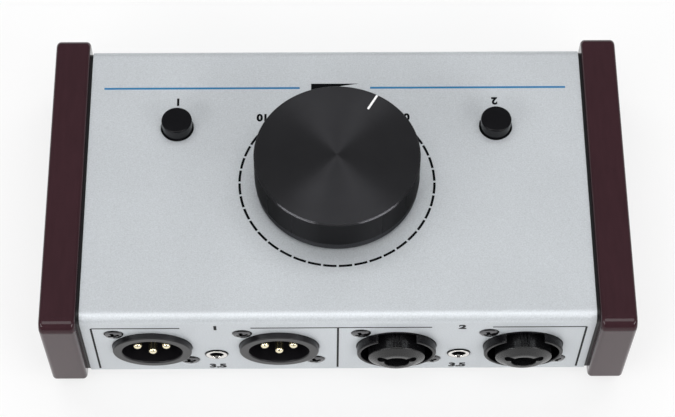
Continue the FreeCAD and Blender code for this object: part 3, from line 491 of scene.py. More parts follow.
def piece(name, solid, body, slot, replaces=(), place=Matrix.Identity(4), finish=None):
    """A finished piece of the object, riding on its body, in its slot's finish or another."""
    item = linked("shaded", mesh_of(solid, "shaded"))
    item.data.shade_smooth()
    item.data.set_sharp_from_angle(angle=SHARP_EDGE)
    weights = item.modifiers.new("shading", "WEIGHTED_NORMAL")
    weights.keep_sharp = True
    mesh = final_mesh(item)
    mesh.name = name
    mesh.materials.clear()
    mesh.materials.append(finish_of(finish or slot))
    made = linked(name, mesh)
    made.matrix_world = place
    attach(made, body)
    if replaces:
        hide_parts(*replaces)


# ---------------------------------------------------------------- shader expressions
class Value:
    """A number that changes over a surface. Expressions on it add Math nodes."""

    def __init__(self, board, socket):
        self.board = board
        self.socket = socket

    def maths(self, operation, first, second):
        return self.board.node("ShaderNodeMath", {"operation": operation}, {0: first, 1: second})

    def __add__(self, other):
        return self.maths("ADD", self, other)

    __radd__ = __add__

    def __sub__(self, other):
        return self.maths("SUBTRACT", self, other)

    def __rsub__(self, other):
        return self.maths("SUBTRACT", other, self)

    def __mul__(self, other):
        return self.maths("MULTIPLY", self, other)

    __rmul__ = __mul__

    def __gt__(self, other):
        return self.maths("GREATER_THAN", self, other)

    def __lt__(self, other):
        return self.maths("LESS_THAN", self, other)

    def __or__(self, other):
        return self.maths("MAXIMUM", self, other)

    __ror__ = __or__


class Board:
    """The nodes of one material, or of the world."""

    def __init__(self, owner):
        owner.use_nodes = True
        self.owner = owner
        self.tree = owner.node_tree

    def feed(self, socket, value):
        if isinstance(value, Value):
            self.tree.links.new(value.socket, socket)
        else:
            socket.default_value = value

    def node(self, kind, settings=None, inputs=None, output=0):
        """Any node: its settings first, then its sockets. The value is of one output, if any."""
        made = self.tree.nodes.new(kind)
        for name, value in (settings or {}).items():
            setattr(made, name, value)
        for key, value in (inputs or {}).items():
            self.feed(made.inputs[key], value)
        return Value(self, made.outputs[output]) if made.outputs else None

    def place(self):
        return self.node("ShaderNodeTexCoord", output="Object")

    def stretched(self, x, y, z):
        """The place with its axes scaled, so that a pattern runs along one of them."""
        return self.node("ShaderNodeVectorMath", {"operation": "MULTIPLY"},
                         {0: self.place(), 1: (x, y, z)})

    def along(self, axis):
        return self.node("ShaderNodeSeparateXYZ", {}, {0: self.place()}, output=axis)

    def waves(self, settings, pitch):
        """Even ridges, one to each pitch."""
        return self.node("ShaderNodeTexWave", settings,
                         {"Vector": self.place(), "Scale": math.pi / 10 / pitch})

    def noise(self, size, detail=2.0, at=None):
        """Soft random blotches of about that size, between 0 and 1."""
        return self.node("ShaderNodeTexNoise", {},
                         {"Vector": at or self.place(), "Scale": 1.0 / size, "Detail": detail})

    def mixed(self, amount, first, second):
        return self.node("ShaderNodeMix", {"data_type": "RGBA"}, {0: amount, 6: first, 7: second},
                         output=2)

    def bump(self, height, depth, strength):
        return self.node("ShaderNodeBump", {}, {"Height": height, "Distance": depth,
                                                "Strength": strength})

    def ray(self, kind):
        """1 for rays of that kind, such as Camera, and 0 for the rest."""
        return self.node("ShaderNodeLightPath", output=f"Is {kind} Ray")

    def finish(self, **sockets):
        """Set the shader's sockets, named with underscores for spaces."""
        shader = self.tree.nodes["Principled BSDF"]
        for name, value in sockets.items():
            self.feed(shader.inputs[name.replace("_", " ")], value)
        return self.owner


PAD_TIN = (0.62, 0.62, 0.60)
CABLE_RED = (0.42, 0.02, 0.02)


def shade(tint, factor=1.0):
    return (tint[0] * factor, tint[1] * factor, tint[2] * factor, 1.0)


def sprayed_paint(board, tint):
    """Fine-textured silver paint: flakes a third of a millimetre across on a slow drift."""
    fleck = board.noise(0.34 * MM, 3.0)
    drift = board.noise(26.0 * MM, 1.0)
    body = board.mixed(fleck * 0.8 + drift * 0.2, shade(tint, 0.70), shade(tint, 1.30))
    skin = board.bump(board.noise(0.45 * MM, 2.0), 0.045 * MM, 0.8)
    return board.finish(Base_Color=body, Metallic=0.36, Roughness=0.36 + fleck * 0.18, Normal=skin)


def satin_paint(board, tint):
    speck = board.noise(0.5 * MM)
    body = board.mixed(speck, shade(tint, 0.7), shade(tint, 1.3))
    skin = board.bump(speck, 0.02 * MM, 0.5)
    return board.finish(Base_Color=body, Roughness=0.36 + speck * 0.2, Normal=skin)


def gloss_lacquer(board, tint):
    """Deep lacquer over stained wood: a faint grain runs front to rear under a clear coat."""
    grain = board.noise(1.4 * MM, 5.0, board.stretched(1.0, 0.09, 1.0))
    cloud = board.noise(22.0 * MM, 2.0)
    body = board.mixed(grain * 0.6 + cloud * 0.4, shade(tint, 0.75), shade(tint, 1.35))
    peel = board.bump(board.noise(2.6 * MM, 1.0), 0.03 * MM, 0.25)
    return board.finish(Base_Color=body, Roughness=0.6 - grain * 0.1, Specular_IOR_Level=0.0,
                        Coat_Weight=0.9, Coat_Roughness=0.08, Coat_IOR=1.36, Normal=peel)


def turned_metal(board, tint):
    """Anodised metal with fine rings left by the lathe tool about the local z axis, its side wall painted
    darker as painted shade.
    """
    rings = board.waves({"wave_type": "RINGS", "rings_direction": "Z"}, 0.2732 * MM)
    smudge = board.noise(9.0 * MM, 3.0)
    sizes = bpy.context.scene.control_sizes
    seam = sizes.knob_gap + sizes.knob_base
    edge = sizes.knob_gap + sizes.knob_height - sizes.knob_chamfer
    reach = board.node("ShaderNodeVectorMath", {"operation": "LENGTH"},
                       {0: board.stretched(1.0, 1.0, 0.0)}, output=1)
    rim = reach > KNOB_RADIUS - sizes.knob_chamfer - HAIR
    height = board.along(2)
    side = rim * (height > seam - HAIR) * (height < edge)
    face = board.mixed(smudge, shade(tint, 0.85), shade(tint, 1.15))
    # Painted shade: the knob's side wall, between the groove and the chamfer, is made darker than the top,
    # standing in for the darker reflections on it.
    body = board.mixed(side * 0.65, face, shade(tint, 0.1))
    return board.finish(Base_Color=body, Metallic=0.8,
                        Roughness=0.46 + smudge * 0.06 - rim * 0.26 + side * 0.12,
                        Specular_Tint=(0.35, 0.35, 0.35, 1.0), Anisotropic=0.9,
                        Anisotropic_Rotation=0.25, Normal=board.bump(rings, 0.004 * MM, 0.6))


def moulded(board, tint, roughness, texture=0.02, gloss=0.5):
    """Moulded plastic with the fine skin of its tool."""
    skin = board.noise(0.25 * MM, 2.0)
    cloud = board.noise(6.0 * MM, 2.0)
    body = board.mixed(cloud, shade(tint, 0.85), shade(tint, 1.15))
    return board.finish(Base_Color=body, Roughness=roughness - 0.06 + skin * 0.12,
                        Specular_IOR_Level=gloss, Normal=board.bump(skin, texture * MM, 0.6))


def gloss_moulded(board, tint):
    smear = board.noise(2.2 * MM, 3.0)
    body = board.mixed(smear, shade(tint, 0.8), shade(tint, 1.2))
    skin = board.bump(board.noise(0.9 * MM), 0.008 * MM, 0.3)
    return board.finish(Base_Color=body, Roughness=0.12 + smear * 0.12, Specular_IOR_Level=0.13,
                        Normal=skin)


def plated(board, tint, roughness):
    """Plated metal with faint drawing marks."""
    marks = board.noise(0.3 * MM, 3.0, board.stretched(1.0, 0.2, 1.0))
    body = board.mixed(marks, shade(tint, 0.9), shade(tint, 1.05))
    return board.finish(Base_Color=body, Metallic=1.0, Roughness=roughness - 0.05 + marks * 0.1,
                        Normal=board.bump(marks, 0.004 * MM, 0.4))


def screw_metal(board, tint, roughness):
    """Dark plated heads on the rear panel, with painted shade: black in the cross and under the rim."""
    marks = board.noise(0.3 * MM, 3.0)
    # Painted shade: what lies below the panel's face, in the cross and round the rim in the countersink, is
    # made near black.
    recess_shade = board.along(1) < REAR_Y + 0.04 * MM
    face = board.mixed(marks, shade(tint, 0.8), shade(tint, 1.2))
    return board.finish(Base_Color=board.mixed(recess_shade, face, shade(tint, 0.05)), Metallic=1.0,
                        Roughness=roughness - 0.04 + marks * 0.08 + recess_shade * 0.3,
                        Normal=board.bump(marks, 0.004 * MM, 0.4))


def ink(board, tint):
    body = board.mixed(board.noise(0.3 * MM), shade(tint, 0.8), shade(tint, 1.2))
    return board.finish(Base_Color=body, Roughness=0.5, Specular_IOR_Level=0.1)


def rubber(board, tint):
    dust = board.noise(1.2 * MM, 4.0)
    body = board.mixed(dust, shade(tint, 0.7), shade(tint, 1.6))
    return board.finish(Base_Color=body, Roughness=0.75 + dust * 0.15,
                        Normal=board.bump(dust, 0.05 * MM, 0.5))


def circuit_laminate(board, tint):
    """Green mask over copper: paler tracks in steps and a grid of tinned pads."""
    tracks = board.node("ShaderNodeTexBrick", {"offset": 0.35, "squash": 0.6},
                        {"Vector": board.place(), "Scale": 1.0, "Brick Width": 9.0 * MM,
                         "Row Height": 1.27 * MM, "Mortar Size": 0.16 * MM}, output="Fac")
    pads = board.node("ShaderNodeTexVoronoi", {"feature": "F1"},
                      {"Vector": board.place(), "Scale": 1.0 / (3.81 * MM), "Randomness": 0.0}) < 0.14
    mask = board.mixed(tracks, shade(tint, 0.8), shade(tint, 1.7))
    body = board.mixed(pads, mask, shade(PAD_TIN))
    return board.finish(Base_Color=body, Roughness=0.36 - pads * 0.1, Metallic=pads * 0.8,
                        Normal=board.bump(tracks + pads, 0.03 * MM, 0.5))


def flat_cable(board, tint):
    """Grey insulation with a ridge over each conductor and one red edge."""
    ridges = board.waves({"wave_type": "BANDS", "bands_direction": "X"}, 1.272 * MM)
    low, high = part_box("ribbon_cable")
    edge = board.along(0) > high.x - (high.x - low.x) / 10
    body = board.mixed(edge, board.mixed(ridges, shade(tint, 0.7), shade(tint, 1.1)), shade(CABLE_RED))
    return board.finish(Base_Color=body, Roughness=0.5 + ridges * 0.1,
                        Normal=board.bump(ridges, 0.12 * MM, 0.8))


def finish_table():
    """How each finish is made: the function, and what it takes after its board."""
    colours = bpy.context.scene.finish_colours
    return {
        "cover_paint": (sprayed_paint, colours.paint),
        "cheek_lacquer": (gloss_lacquer, colours.lacquer),
        "tray_paint": (satin_paint, (0.008, 0.008, 0.009)),
        "foot_rubber": (rubber, (0.012, 0.012, 0.012)),
        "knob_anodised": (turned_metal, colours.anodised),
        "pointer_white": (ink, colours.white),
        "cap_black": (gloss_moulded, colours.gloss_black),
        "socket_black": (moulded, colours.black, 0.28, 0.015, 0.2),
        "insert_grey": (moulded, colours.insert, 0.28, 0.02, 0.5),
        "socket_shell": (moulded, colours.shell, 0.30, 0.015, 0.32),
        "contact_gold": (plated, colours.gold, 0.22),
        "jack_nickel": (plated, colours.nickel, 0.18),
        "screw_dark": (screw_metal, colours.dark_chrome, 0.15),
        "ink_black": (ink, colours.ink_black),
        "ink_blue": (ink, colours.ink_blue),
        "screw_steel": (plated, (0.42, 0.42, 0.43), 0.3),
        "spring_steel": (plated, (0.50, 0.50, 0.52), 0.2),
        "pot_metal": (plated, (0.48, 0.47, 0.43), 0.34),
        "pot_phenolic": (moulded, (0.10, 0.035, 0.014), 0.5),
        "carbon_track": (satin_paint, (0.006, 0.006, 0.006)),
        "rotor_plastic": (moulded, (0.62, 0.60, 0.54), 0.4),
        "switch_plastic": (moulded, (0.014, 0.014, 0.016), 0.42),
        "plunger_plastic": (moulded, (0.70, 0.70, 0.67), 0.36),
        "lead_tin": (plated, (0.58, 0.58, 0.59), 0.3),
        "board_green": (circuit_laminate, (0.010, 0.085, 0.030)),
        "ribbon_grey": (flat_cable, (0.34, 0.34, 0.36)),
        "plug_plastic": (moulded, (0.006, 0.006, 0.006), 0.4),
    }


def finish_of(name):
    """The finish of that name, made when it is first asked for."""
    made = bpy.data.materials.get(name + " finish")
    if made:
        return made
    build, *values = finish_table()[name]
    return build(Board(bpy.data.materials.new(name + " finish")), *values)


# ---------------------------------------------------------------- case
def slope_z(y, above=0.0):
    """Height of the sloping top at y, or of a line that far above it, square to it."""
    return TOP_Z - (REAR_Y - y) * math.tan(SLOPE) + above / math.cos(SLOPE)


def sheet_outline(sizes):
    """The cover's section in y and z: front, sloping top, rear and two lips, one sheet thick."""
    sheet, bend, lip_bend = sizes.sheet, sizes.bend, sizes.lip_bend
    rear, front, floor = REAR_Y - sheet, FRONT_Y + sheet, CASE_BOTTOM + sheet
    rear_lip, front_lip = REAR_Y - sizes.lip, FRONT_Y + sizes.lip
    outer = [(rear_lip, CASE_BOTTOM, 0), (REAR_Y, CASE_BOTTOM, lip_bend), (REAR_Y, TOP_Z, bend),
             (FRONT_Y, slope_z(FRONT_Y), bend), (FRONT_Y, CASE_BOTTOM, lip_bend),
             (front_lip, CASE_BOTTOM, 0)]
    inner = [(front_lip, floor, 0), (front, floor, lip_bend - sheet),
             (front, slope_z(front, -sheet), bend - sheet), (rear, slope_z(rear, -sheet), bend - sheet),
             (rear, floor, lip_bend - sheet), (rear_lip, floor, 0)]
    return rounded(outer + inner, 8)


def across(solid):
    """Turn a prism drawn in x, y and z into one drawn in y, z and x."""
    return moved(solid, Matrix(((0, 0, 1, 0), (1, 0, 0, 0), (0, 1, 0, 0), (0, 0, 0, 1))))


def screw_places(sizes):
    """Where the two screws of each socket stand on the rear panel."""
    return [at_rear(centre.x + side * sizes.screw_x, centre.z + side * sizes.screw_y)
            for centre in SOCKETS.values() for side in (-1, 1)]


def cover_cutters(case, sockets):
    low, high = -case.sheet - PAST, PAST
    cutters = [moved(cylinder(case.bushing_hole / 2, low, high), on_top(0, KNOB_FROM_REAR))]
    for x in BUTTONS.values():
        cutters.append(moved(cylinder(case.button_hole / 2, low, high), on_top(x, case.button_from_rear)))
    for name in SOCKETS:
        cutters.append(moved(cylinder(sockets.collar + sockets.hole_gap, low, high, 128), at_opening(name)))
    for name in MINI_JACKS:
        cutters.append(moved(cylinder(sockets.mini_hole, low, high), at_opening(name)))
    wide = sockets.screw_head + sockets.seat_gap
    for place in screw_places(sockets):
        seat = lathe([(0, low), (sockets.screw_shank, low), (sockets.screw_shank, -sockets.screw_sink),
                      (wide, 0), (wide, high), (0, high)], 48)
        cutters.append(moved(seat, place))
    for side in (-1, 1):
        for y in (FRONT_Y + case.lip / 2, REAR_Y - case.lip / 2):
            place = Matrix.Translation((side * case.cover_screw_spacing / 2, y, CASE_BOTTOM))
            cutters.append(moved(cylinder(case.screw_hole / 2, -PAST, case.sheet + PAST, 32), place))
    return cutters


def add_cover(case, sockets):
    strip = across(prism(sheet_outline(case), -HALF_WIDTH, HALF_WIDTH))
    cover = softened(carved(strip, *cover_cutters(case, sockets)), case.paint_edge)
    piece("silver_cover", cover, "chassis", "cover_paint", ["top_cover"])


def add_cheek(name, node, case):
    low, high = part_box(node)
    rear_top, front_top = (slope_z(y, case.cheek_proud_top) for y in (high.y, low.y))
    outline = [(high.y, low.z), (high.y, rear_top), (low.y, front_top), (low.y, low.z)]
    side = rounded([(y, z, case.cheek_corner) for y, z in outline], 12)
    plank = softened(across(prism(side, low.x, high.x)), case.cheek_round, 6, 60.0)
    piece(name, plank, "chassis", "cheek_lacquer", [node])


def add_feet(case):
    low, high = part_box("rubber_feet")
    radius, roof = case.foot, case.foot_hollow_depth
    outline = rounded([(0, roof, 0), (case.foot_hollow, roof, 0),
                       (case.foot_hollow - case.foot_hollow_lip, 0, case.foot_lip_round),
                       (radius - case.foot_taper, 0, case.foot_round), (radius, high.z, 0), (0, high.z, 0)])
    feet = [moved(lathe(outline, 64), Matrix.Translation((x, y, 0)))
            for x in (low.x + radius, high.x - radius) for y in (low.y + radius, high.y - radius)]
    piece("moulded_feet", gathered(feet), "chassis", "foot_rubber", ["rubber_feet"])


# ---------------------------------------------------------------- knob and buttons
def pointer_angle():
    """Where the white line points at rest, about the knob's axis from local +x."""
    low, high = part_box("pointer_inlay")
    middle = TOP_FRAME.inverted() @ ((low + high) / 2)
    return math.atan2(middle.y + KNOB_FROM_REAR, middle.x)


def knob_outline(sizes):
    radius = KNOB_RADIUS
    low, top = sizes.knob_gap, sizes.knob_gap + sizes.knob_height
    seam, edge = low + sizes.knob_base, sizes.knob_edge
    base = radius - sizes.knob_base_inset
    neck = base - sizes.knob_groove
    return rounded([(0, sizes.shaft_hole_top, 0), (sizes.shaft_hole, sizes.shaft_hole_top, 0),
                    (sizes.shaft_hole, sizes.knob_recess_top, 0),
                    (sizes.knob_recess, sizes.knob_recess_top, 0), (sizes.knob_recess, low, 0),
                    (base, low, sizes.knob_foot_round), (base, seam - sizes.knob_groove, edge),
                    (neck, seam - sizes.knob_groove, 0), (neck, seam, 0), (radius, seam, edge),
                    (radius, top - sizes.knob_chamfer, edge),
                    (radius - sizes.knob_chamfer, top, edge), (0, top, 0)], 4)


def add_knob(sizes):
    radius = KNOB_RADIUS
    top = sizes.knob_gap + sizes.knob_height
    bottom = top - sizes.pointer_depth
    turn = Matrix.Rotation(pointer_angle(), 4, "Z")
    start, half = radius - sizes.pointer, sizes.pointer_width / 2
    groove = block(start, radius + PAST, -half, half, bottom, top + PAST)
    grub_z = (sizes.knob_recess_top + sizes.shaft_hole_top) / 2
    level = Matrix.Translation((0, 0, grub_z)) @ Matrix.Rotation(math.pi / 2, 4, "Y")
    hole = moved(cylinder(sizes.grub_hole, 0, radius + PAST, 32), level)
    knob = carved(lathe(knob_outline(sizes), 192), moved(groove, turn), moved(hole, turn))
    place = on_top(0, KNOB_FROM_REAR)
    piece("turned_knob", knob, "volume", "knob_anodised", ["volume_knob"], place)
    line = block(start, radius - sizes.pointer_inset, -half, half, bottom, top - sizes.pointer_sink)
    within = radius - sizes.pointer_skin
    rim = lathe([(0, 0), (within, 0), (within, top - sizes.knob_chamfer),
                 (within - sizes.knob_chamfer, top), (0, top)], 192)
    white = combined(moved(line, turn), [rim], "INTERSECT")
    piece("pointer_line", white, "volume", "pointer_white", ["pointer_inlay"], place)


def add_button(name, sizes):
    radius = width_of(name + "_cap") / 2
    rise, foot = sizes.cap_rise, sizes.cap_rise - sizes.cap_length
    outline = rounded([(0, foot, 0), (radius, foot, sizes.cap_foot_round),
                       (radius, rise - sizes.cap_dome, sizes.cap_round), (0, rise, 0)], 8)
    side = sizes.cap_socket / 2
    socket = block(-side, side, -side, side, foot - PAST, foot + sizes.cap_socket_depth)
    from_rear = bpy.context.scene.case_sizes.button_from_rear
    piece(name + "_button", carved(lathe(outline, 96), socket), name + "_button", "cap_black",
          [name + "_cap"], on_top(BUTTONS[name], from_rear))


# ---------------------------------------------------------------- sockets
def contact_places(sizes):
    """Pins or pin holes about a socket's centre: two above and one below."""
    half, rise = sizes.pin_pitch / 2, sizes.pin_pitch / 4
    return [(-half, rise), (half, rise), (0.0, -rise)]


def cover_sheet():
    return bpy.context.scene.case_sizes.sheet


def socket_body(sizes, depth, *openings):
    """The square body behind the panel, less its openings and the holes of its two screws."""
    half, corner = SOCKET_HALF, sizes.body_round
    outline = rounded([(x, y, corner) for x, y in ((-half, -half), (half, -half), (half, half),
                                                   (-half, half))], 4)
    holes = [moved(cylinder(sizes.screw_shank, -sizes.screw_length, 0, 32),
                   Matrix.Translation((-side * sizes.screw_x, side * sizes.screw_y, 0)))
             for side in (-1, 1)]
    return carved(prism(outline, -cover_sheet() - depth, -cover_sheet()), *openings, *holes)


def socket_collar(sizes, inside, back, rise, inner_round):
    """The round collar that comes through the panel, thinning out into the body behind it."""
    return lathe(rounded([(inside, back, 0), (sizes.collar, -cover_sheet() - sizes.collar_root, 0),
                          (sizes.collar, rise, sizes.collar_round), (inside, rise, inner_round)]), 128)


def add_output(name, sizes):
    back = -cover_sheet() - sizes.body_depth_out
    bore = cylinder(sizes.bore, back - PAST, PAST, 128)
    collar = socket_collar(sizes, sizes.bore, back, sizes.output_rise, sizes.bore_round)
    shell = grown(socket_body(sizes, sizes.body_depth_out, bore), collar)
    piece(name + "_collar", shell, "chassis", "socket_shell", [name + "_shell"], at_opening(name))


def add_pins(name, sizes):
    """Three round-tipped pins, each with a square leg down to the board."""
    tip = sizes.output_rise - sizes.pin_setback
    end = -cover_sheet() - sizes.body_depth_out - sizes.leg
    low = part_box(name + "_pins")[0].z - SOCKETS[name].z
    half = sizes.leg / 2
    pins = []
    for x, y in contact_places(sizes):
        pin = lathe(rounded([(0, end, 0), (sizes.pin, end, 0), (sizes.pin, tip, sizes.pin_round),
                             (0, tip, 0)]), 48)
        pins += [moved(pin, Matrix.Translation((x, y, 0))),
                 block(x - half, x + half, low, y, end, end + sizes.leg)]
    piece(name + "_gold_pins", gathered(pins), "chassis", "contact_gold", [name + "_pins"],
          at_opening(name))


def input_housing(sizes):
    """The square body and the round collar, which has a gap at its top."""
    rise, floor = sizes.input_rise, -sizes.ring_depth - sizes.insert_base
    back = -cover_sheet() - sizes.body_depth_in
    body = socket_body(sizes, sizes.body_depth_in, cylinder(sizes.ring, floor, PAST, 128),
                       cylinder(sizes.chamber, back + sizes.back_wall, PAST, 64))
    collar = socket_collar(sizes, sizes.ring, floor, rise, sizes.ring_round)
    half = sizes.notch / 2
    return carved(grown(body, collar), block(-half, half, 0, sizes.collar + PAST, 0, rise + PAST))


def input_insert(sizes):
    """The round nose between the ring and the jack bore, with its pin holes."""
    floor = -sizes.ring_depth
    base, outside = floor - sizes.insert_base, sizes.ring - HAIR
    insert = lathe(rounded([(sizes.jack, base, 0), (outside, base, 0), (outside, floor, sizes.eased),
                            (sizes.insert, floor, 0), (sizes.insert, sizes.insert_rise, sizes.insert_round),
                            (sizes.nose, sizes.nose_rise, sizes.nose_round),
                            (sizes.jack, sizes.nose_rise, sizes.eased)]), 128)
    holes = [moved(cylinder(sizes.pin_hole, floor + sizes.pin_hole_floor, sizes.nose_rise + PAST, 48),
                   Matrix.Translation((x, y, 0))) for x, y in contact_places(sizes)]
    return carved(insert, *holes)


def insert_ribs(sizes):
    """Three ribs that key the insert into its ring at the top."""
    half = sizes.rib / 2
    return gathered([block(x - half, x + half, sizes.insert - sizes.rib_root,
                           sizes.insert + sizes.rib_height, sizes.rib_foot - sizes.ring_depth,
                           sizes.insert_rise - sizes.rib_setback)
                     for x in (-sizes.rib_pitch, 0.0, sizes.rib_pitch)])


def add_input(name, sizes):
    place = at_opening(name)
    piece(name + "_collar", input_housing(sizes), "chassis", "socket_black", [name + "_housing"], place)
    piece(name + "_face", input_insert(sizes), "chassis", "insert_grey", [name + "_insert"], place)
    piece(name + "_ribs", insert_ribs(sizes), "chassis", "socket_black", (), place)


def cross_cutter(sizes):
    """The cross of a screw's recess, from above the head's face down to its narrower foot."""
    half, thick = sizes.cross / 2, sizes.cross_width / 2
    arms = []
    for turn in (0.0, math.pi / 2):
        arm = block(-half, half, -thick, thick, -sizes.cross_depth, sizes.screw_rise + PAST)
        for vert in arm.verts:
            if vert.co.z < 0:
                vert.co.x *= CROSS_FOOT_LENGTH
                vert.co.y *= CROSS_FOOT_WIDTH
        arms.append(moved(arm, Matrix.Rotation(turn + sizes.cross_turn, 4, "Z")))
    return grown(*arms)


def socket_screw(sizes):
    """A crowned countersunk head with a cross, on a plain shank."""
    shank, head, rise = sizes.screw_shank, sizes.screw_head, sizes.screw_rise
    outline = rounded([(0, -sizes.screw_length, 0), (shank, -sizes.screw_length, sizes.screw_tip),
                       (shank, -sizes.screw_sink, 0), (head, -HAIR, sizes.screw_rim),
                       (head - sizes.screw_shoulder, sizes.screw_shoulder_rise, sizes.screw_shoulder_round),
                       (sizes.screw_flat, rise, sizes.screw_crown), (0, rise, 0)], 5)
    return softened(carved(lathe(outline, 64), cross_cutter(sizes)), sizes.screw_softness, 1)


def add_socket_screws(sizes):
    screws = [moved(socket_screw(sizes), place) for place in screw_places(sizes)]
    piece("socket_screws", gathered(screws), "chassis", "screw_dark", ["connector_screws"])


def add_small_jack(name, sizes):
    """A black nose through the panel with a bright slotted ring let into its front; the nose is partly
    painted shade.
    """
    front, bore, outside = sizes.mini_rise, sizes.mini_bore, sizes.mini
    back, seat = front - sizes.mini_length, front - sizes.mini_ring_depth
    rim, wall_front = outside - sizes.mini_wall, front - sizes.mini_wall_setback
    nose = lathe([(bore, back), (outside, back), (outside, wall_front), (rim, wall_front), (rim, seat),
                  (bore, seat)], 96)
    ring = lathe(rounded([(bore, seat, 0), (rim, seat, 0), (rim, front, sizes.mini_ring_edge),
                          (bore, front, sizes.mini_ring_round)]), 96)
    half = sizes.mini_slot / 2
    slot = block(-half, half, sizes.mini_slot_end - rim, 0, seat - PAST, front + PAST)
    place = at_opening(name)
    piece(name + "_ring", carved(ring, slot), "chassis", "jack_nickel", [name + "_barrel"], place)
    # Partly painted shade: the black nose takes the place of the nickel barrel behind the thin ring, so the
    # bore, the ring's slot and the thin wall round the ring are dark.
    piece(name + "_nose", nose, "chassis", "socket_black", (), place)


# ---------------------------------------------------------------- printed marks
def figure(text, size, depth):
    """Plain figures as a thin solid, centred on the origin."""
    curve = bpy.data.curves.new("figure", "FONT")
    curve.body = text
    curve.size = size
    curve.offset = size * STROKE
    curve.extrude = depth
    curve.align_x = "CENTER"
    curve.align_y = "CENTER"
    return take_mesh(bmesh.new(), final_mesh(linked("figure", curve)))


def dial_dashes(prints):
    """Dashes round the knob, open towards the user; a gap lies straight behind it."""
    dashes = []
    inner, outer = prints.dial - prints.dial_line / 2, prints.dial + prints.dial_line / 2
    for side in (-1, 1):
        for number in range(prints.dashes):
            start = number * prints.dash_pitch + prints.dash_gap / 2
            end = (number + 1) * prints.dash_pitch - prints.dash_gap / 2
            turns = [start + (end - start) * k / 6 for k in range(7)]
            arc = [(side * math.sin(t), math.cos(t)) for t in turns]
            outline = [(x * outer, y * outer) for x, y in arc]
            outline += [(x * inner, y * inner) for x, y in reversed(arc)]
            dashes.append(moved(prism(outline, -prints.ink, prints.ink), on_top(0, KNOB_FROM_REAR)))
    return dashes


def top_figures(prints):
    under_buttons = bpy.context.scene.case_sizes.button_from_rear + prints.button_figure
    marks = [("0", -prints.zero_aside, prints.scale_from_rear),
             ("10", prints.ten_aside, prints.scale_from_rear),
             ("1", BUTTONS["mono"], under_buttons), ("2", BUTTONS["mute"], under_buttons)]
    return [moved(figure(text, prints.figure, prints.ink), on_top(x, down)) for text, x, down in marks]


def volume_wedge(prints):
    half, height = prints.wedge_length / 2, prints.wedge_height
    outline = [(-half, -height / 2), (half, -height / 2), (half, height / 2)]
    return moved(prism(outline, -prints.ink, prints.ink),
                 on_top(prints.line_shift, prints.line_from_rear + prints.wedge_drop))


def rear_boxes(prints):
    """Thin lines round each group of sockets, with a gap in the upper line for a figure."""
    line = prints.box_line / 2
    bars = [(-line, line, prints.box_top, prints.box_bottom)]
    for side, gap in ((-1, prints.box_gap_output), (1, prints.box_gap_input)):
        upright = side * prints.box_side + prints.box_shift
        middle = side * prints.box_gap_middle + prints.box_shift
        bars.append((upright - line, upright + line, prints.box_top, prints.box_bottom))
        for start, end in ((0.0, middle - side * gap / 2), (middle + side * gap / 2, upright)):
            x0, x1 = sorted((start, end))
            bars.append((x0, x1, prints.box_top - line, prints.box_top + line))
    return [moved(block(x0, x1, -down1, -down0, -prints.ink, prints.ink), at_rear(0, TOP_Z))
            for x0, x1, down0, down1 in bars]


def rear_figures(prints):
    middle, gap_z = prints.box_gap_middle, TOP_Z - prints.box_top
    marks = [("1", middle - prints.box_shift, gap_z), ("2", -middle - prints.box_shift, gap_z)]
    marks += [("3.5", centre.x, TOP_Z - prints.jack_figure) for centre in MINI_JACKS.values()]
    return [moved(figure(text, prints.rear_figure, prints.ink), at_rear(x, z)) for text, x, z in marks]


def blue_line(prints):
    half = prints.line_width / 2
    place = on_top(prints.line_shift, prints.line_from_rear)
    spans = [sorted((side * prints.line_start, side * prints.line_end)) for side in (-1, 1)]
    return [moved(block(x0, x1, -half, half, -prints.ink, prints.ink), place) for x0, x1 in spans]


def add_prints(prints):
    marks = {"printed_blue_line": (blue_line(prints), "ink_blue"),
             "printed_dial": (dial_dashes(prints), "ink_black"),
             "printed_top_marks": (top_figures(prints) + [volume_wedge(prints)], "ink_black"),
             "printed_rear_marks": (rear_boxes(prints) + rear_figures(prints), "ink_black")}
    for name, (solids, finish) in marks.items():
        piece(name, gathered(solids), "chassis", "cover_paint", finish=finish)


# ---------------------------------------------------------------- inner pieces
def dress_inner_pieces():
    """Give each frame node that still shows the finish of its own slot."""
    for node in frame["nodes"].values():
        if not node.hide_render:
            slot = node.data.materials[0].name
            node.material_slots[0].material = finish_of(slot)


# ---------------------------------------------------------------- stage
# Places, aims, and widths and heights of the lamps, in metres.
CASE_MIDDLE = (0.0, 0.0, 0.0)
KEY_PLACE, KEY_SIZE = (0.0, -0.50, 1.0), (1.7, 0.4)
TOP_PLACE, TOP_SIZE = (0.0, 0.25, 1.05), (0.95, 0.5)
CORNER_PLACE, CORNER_AIM = (0.585, 0.49, 0.50), (0.0, 0.0, 0.03)
STRIP_SIZE, GLINT_SIZE = (0.7, 0.12), (0.5, 0.14)
SKY_GREY = (0.80, 0.80, 0.80, 1.0)
FLOOR_GREY = (0.86, 0.86, 0.86, 1.0)


def sky(board, settings):
    """A plain sky: pale to the camera, and dim soft light to the object."""
    board.tree.nodes.clear()
    direction = board.node("ShaderNodeTexCoord", output="Generated")
    height = board.node("ShaderNodeSeparateXYZ", {}, {0: direction}, output="Z")
    dim = board.node("ShaderNodeMapRange", {},
                     {"Value": height, "From Min": settings.sky_low_end, "To Min": settings.sky_low,
                      "From Max": settings.sky_high_start, "To Max": settings.sky_high})
    strength = board.node("ShaderNodeMix", {}, {"Factor": board.ray("Camera"), "A": dim, "B": 1.0})
    light = board.node("ShaderNodeBackground", {}, {"Color": SKY_GREY, "Strength": strength})
    board.node("ShaderNodeOutputWorld", {}, {"Surface": light})


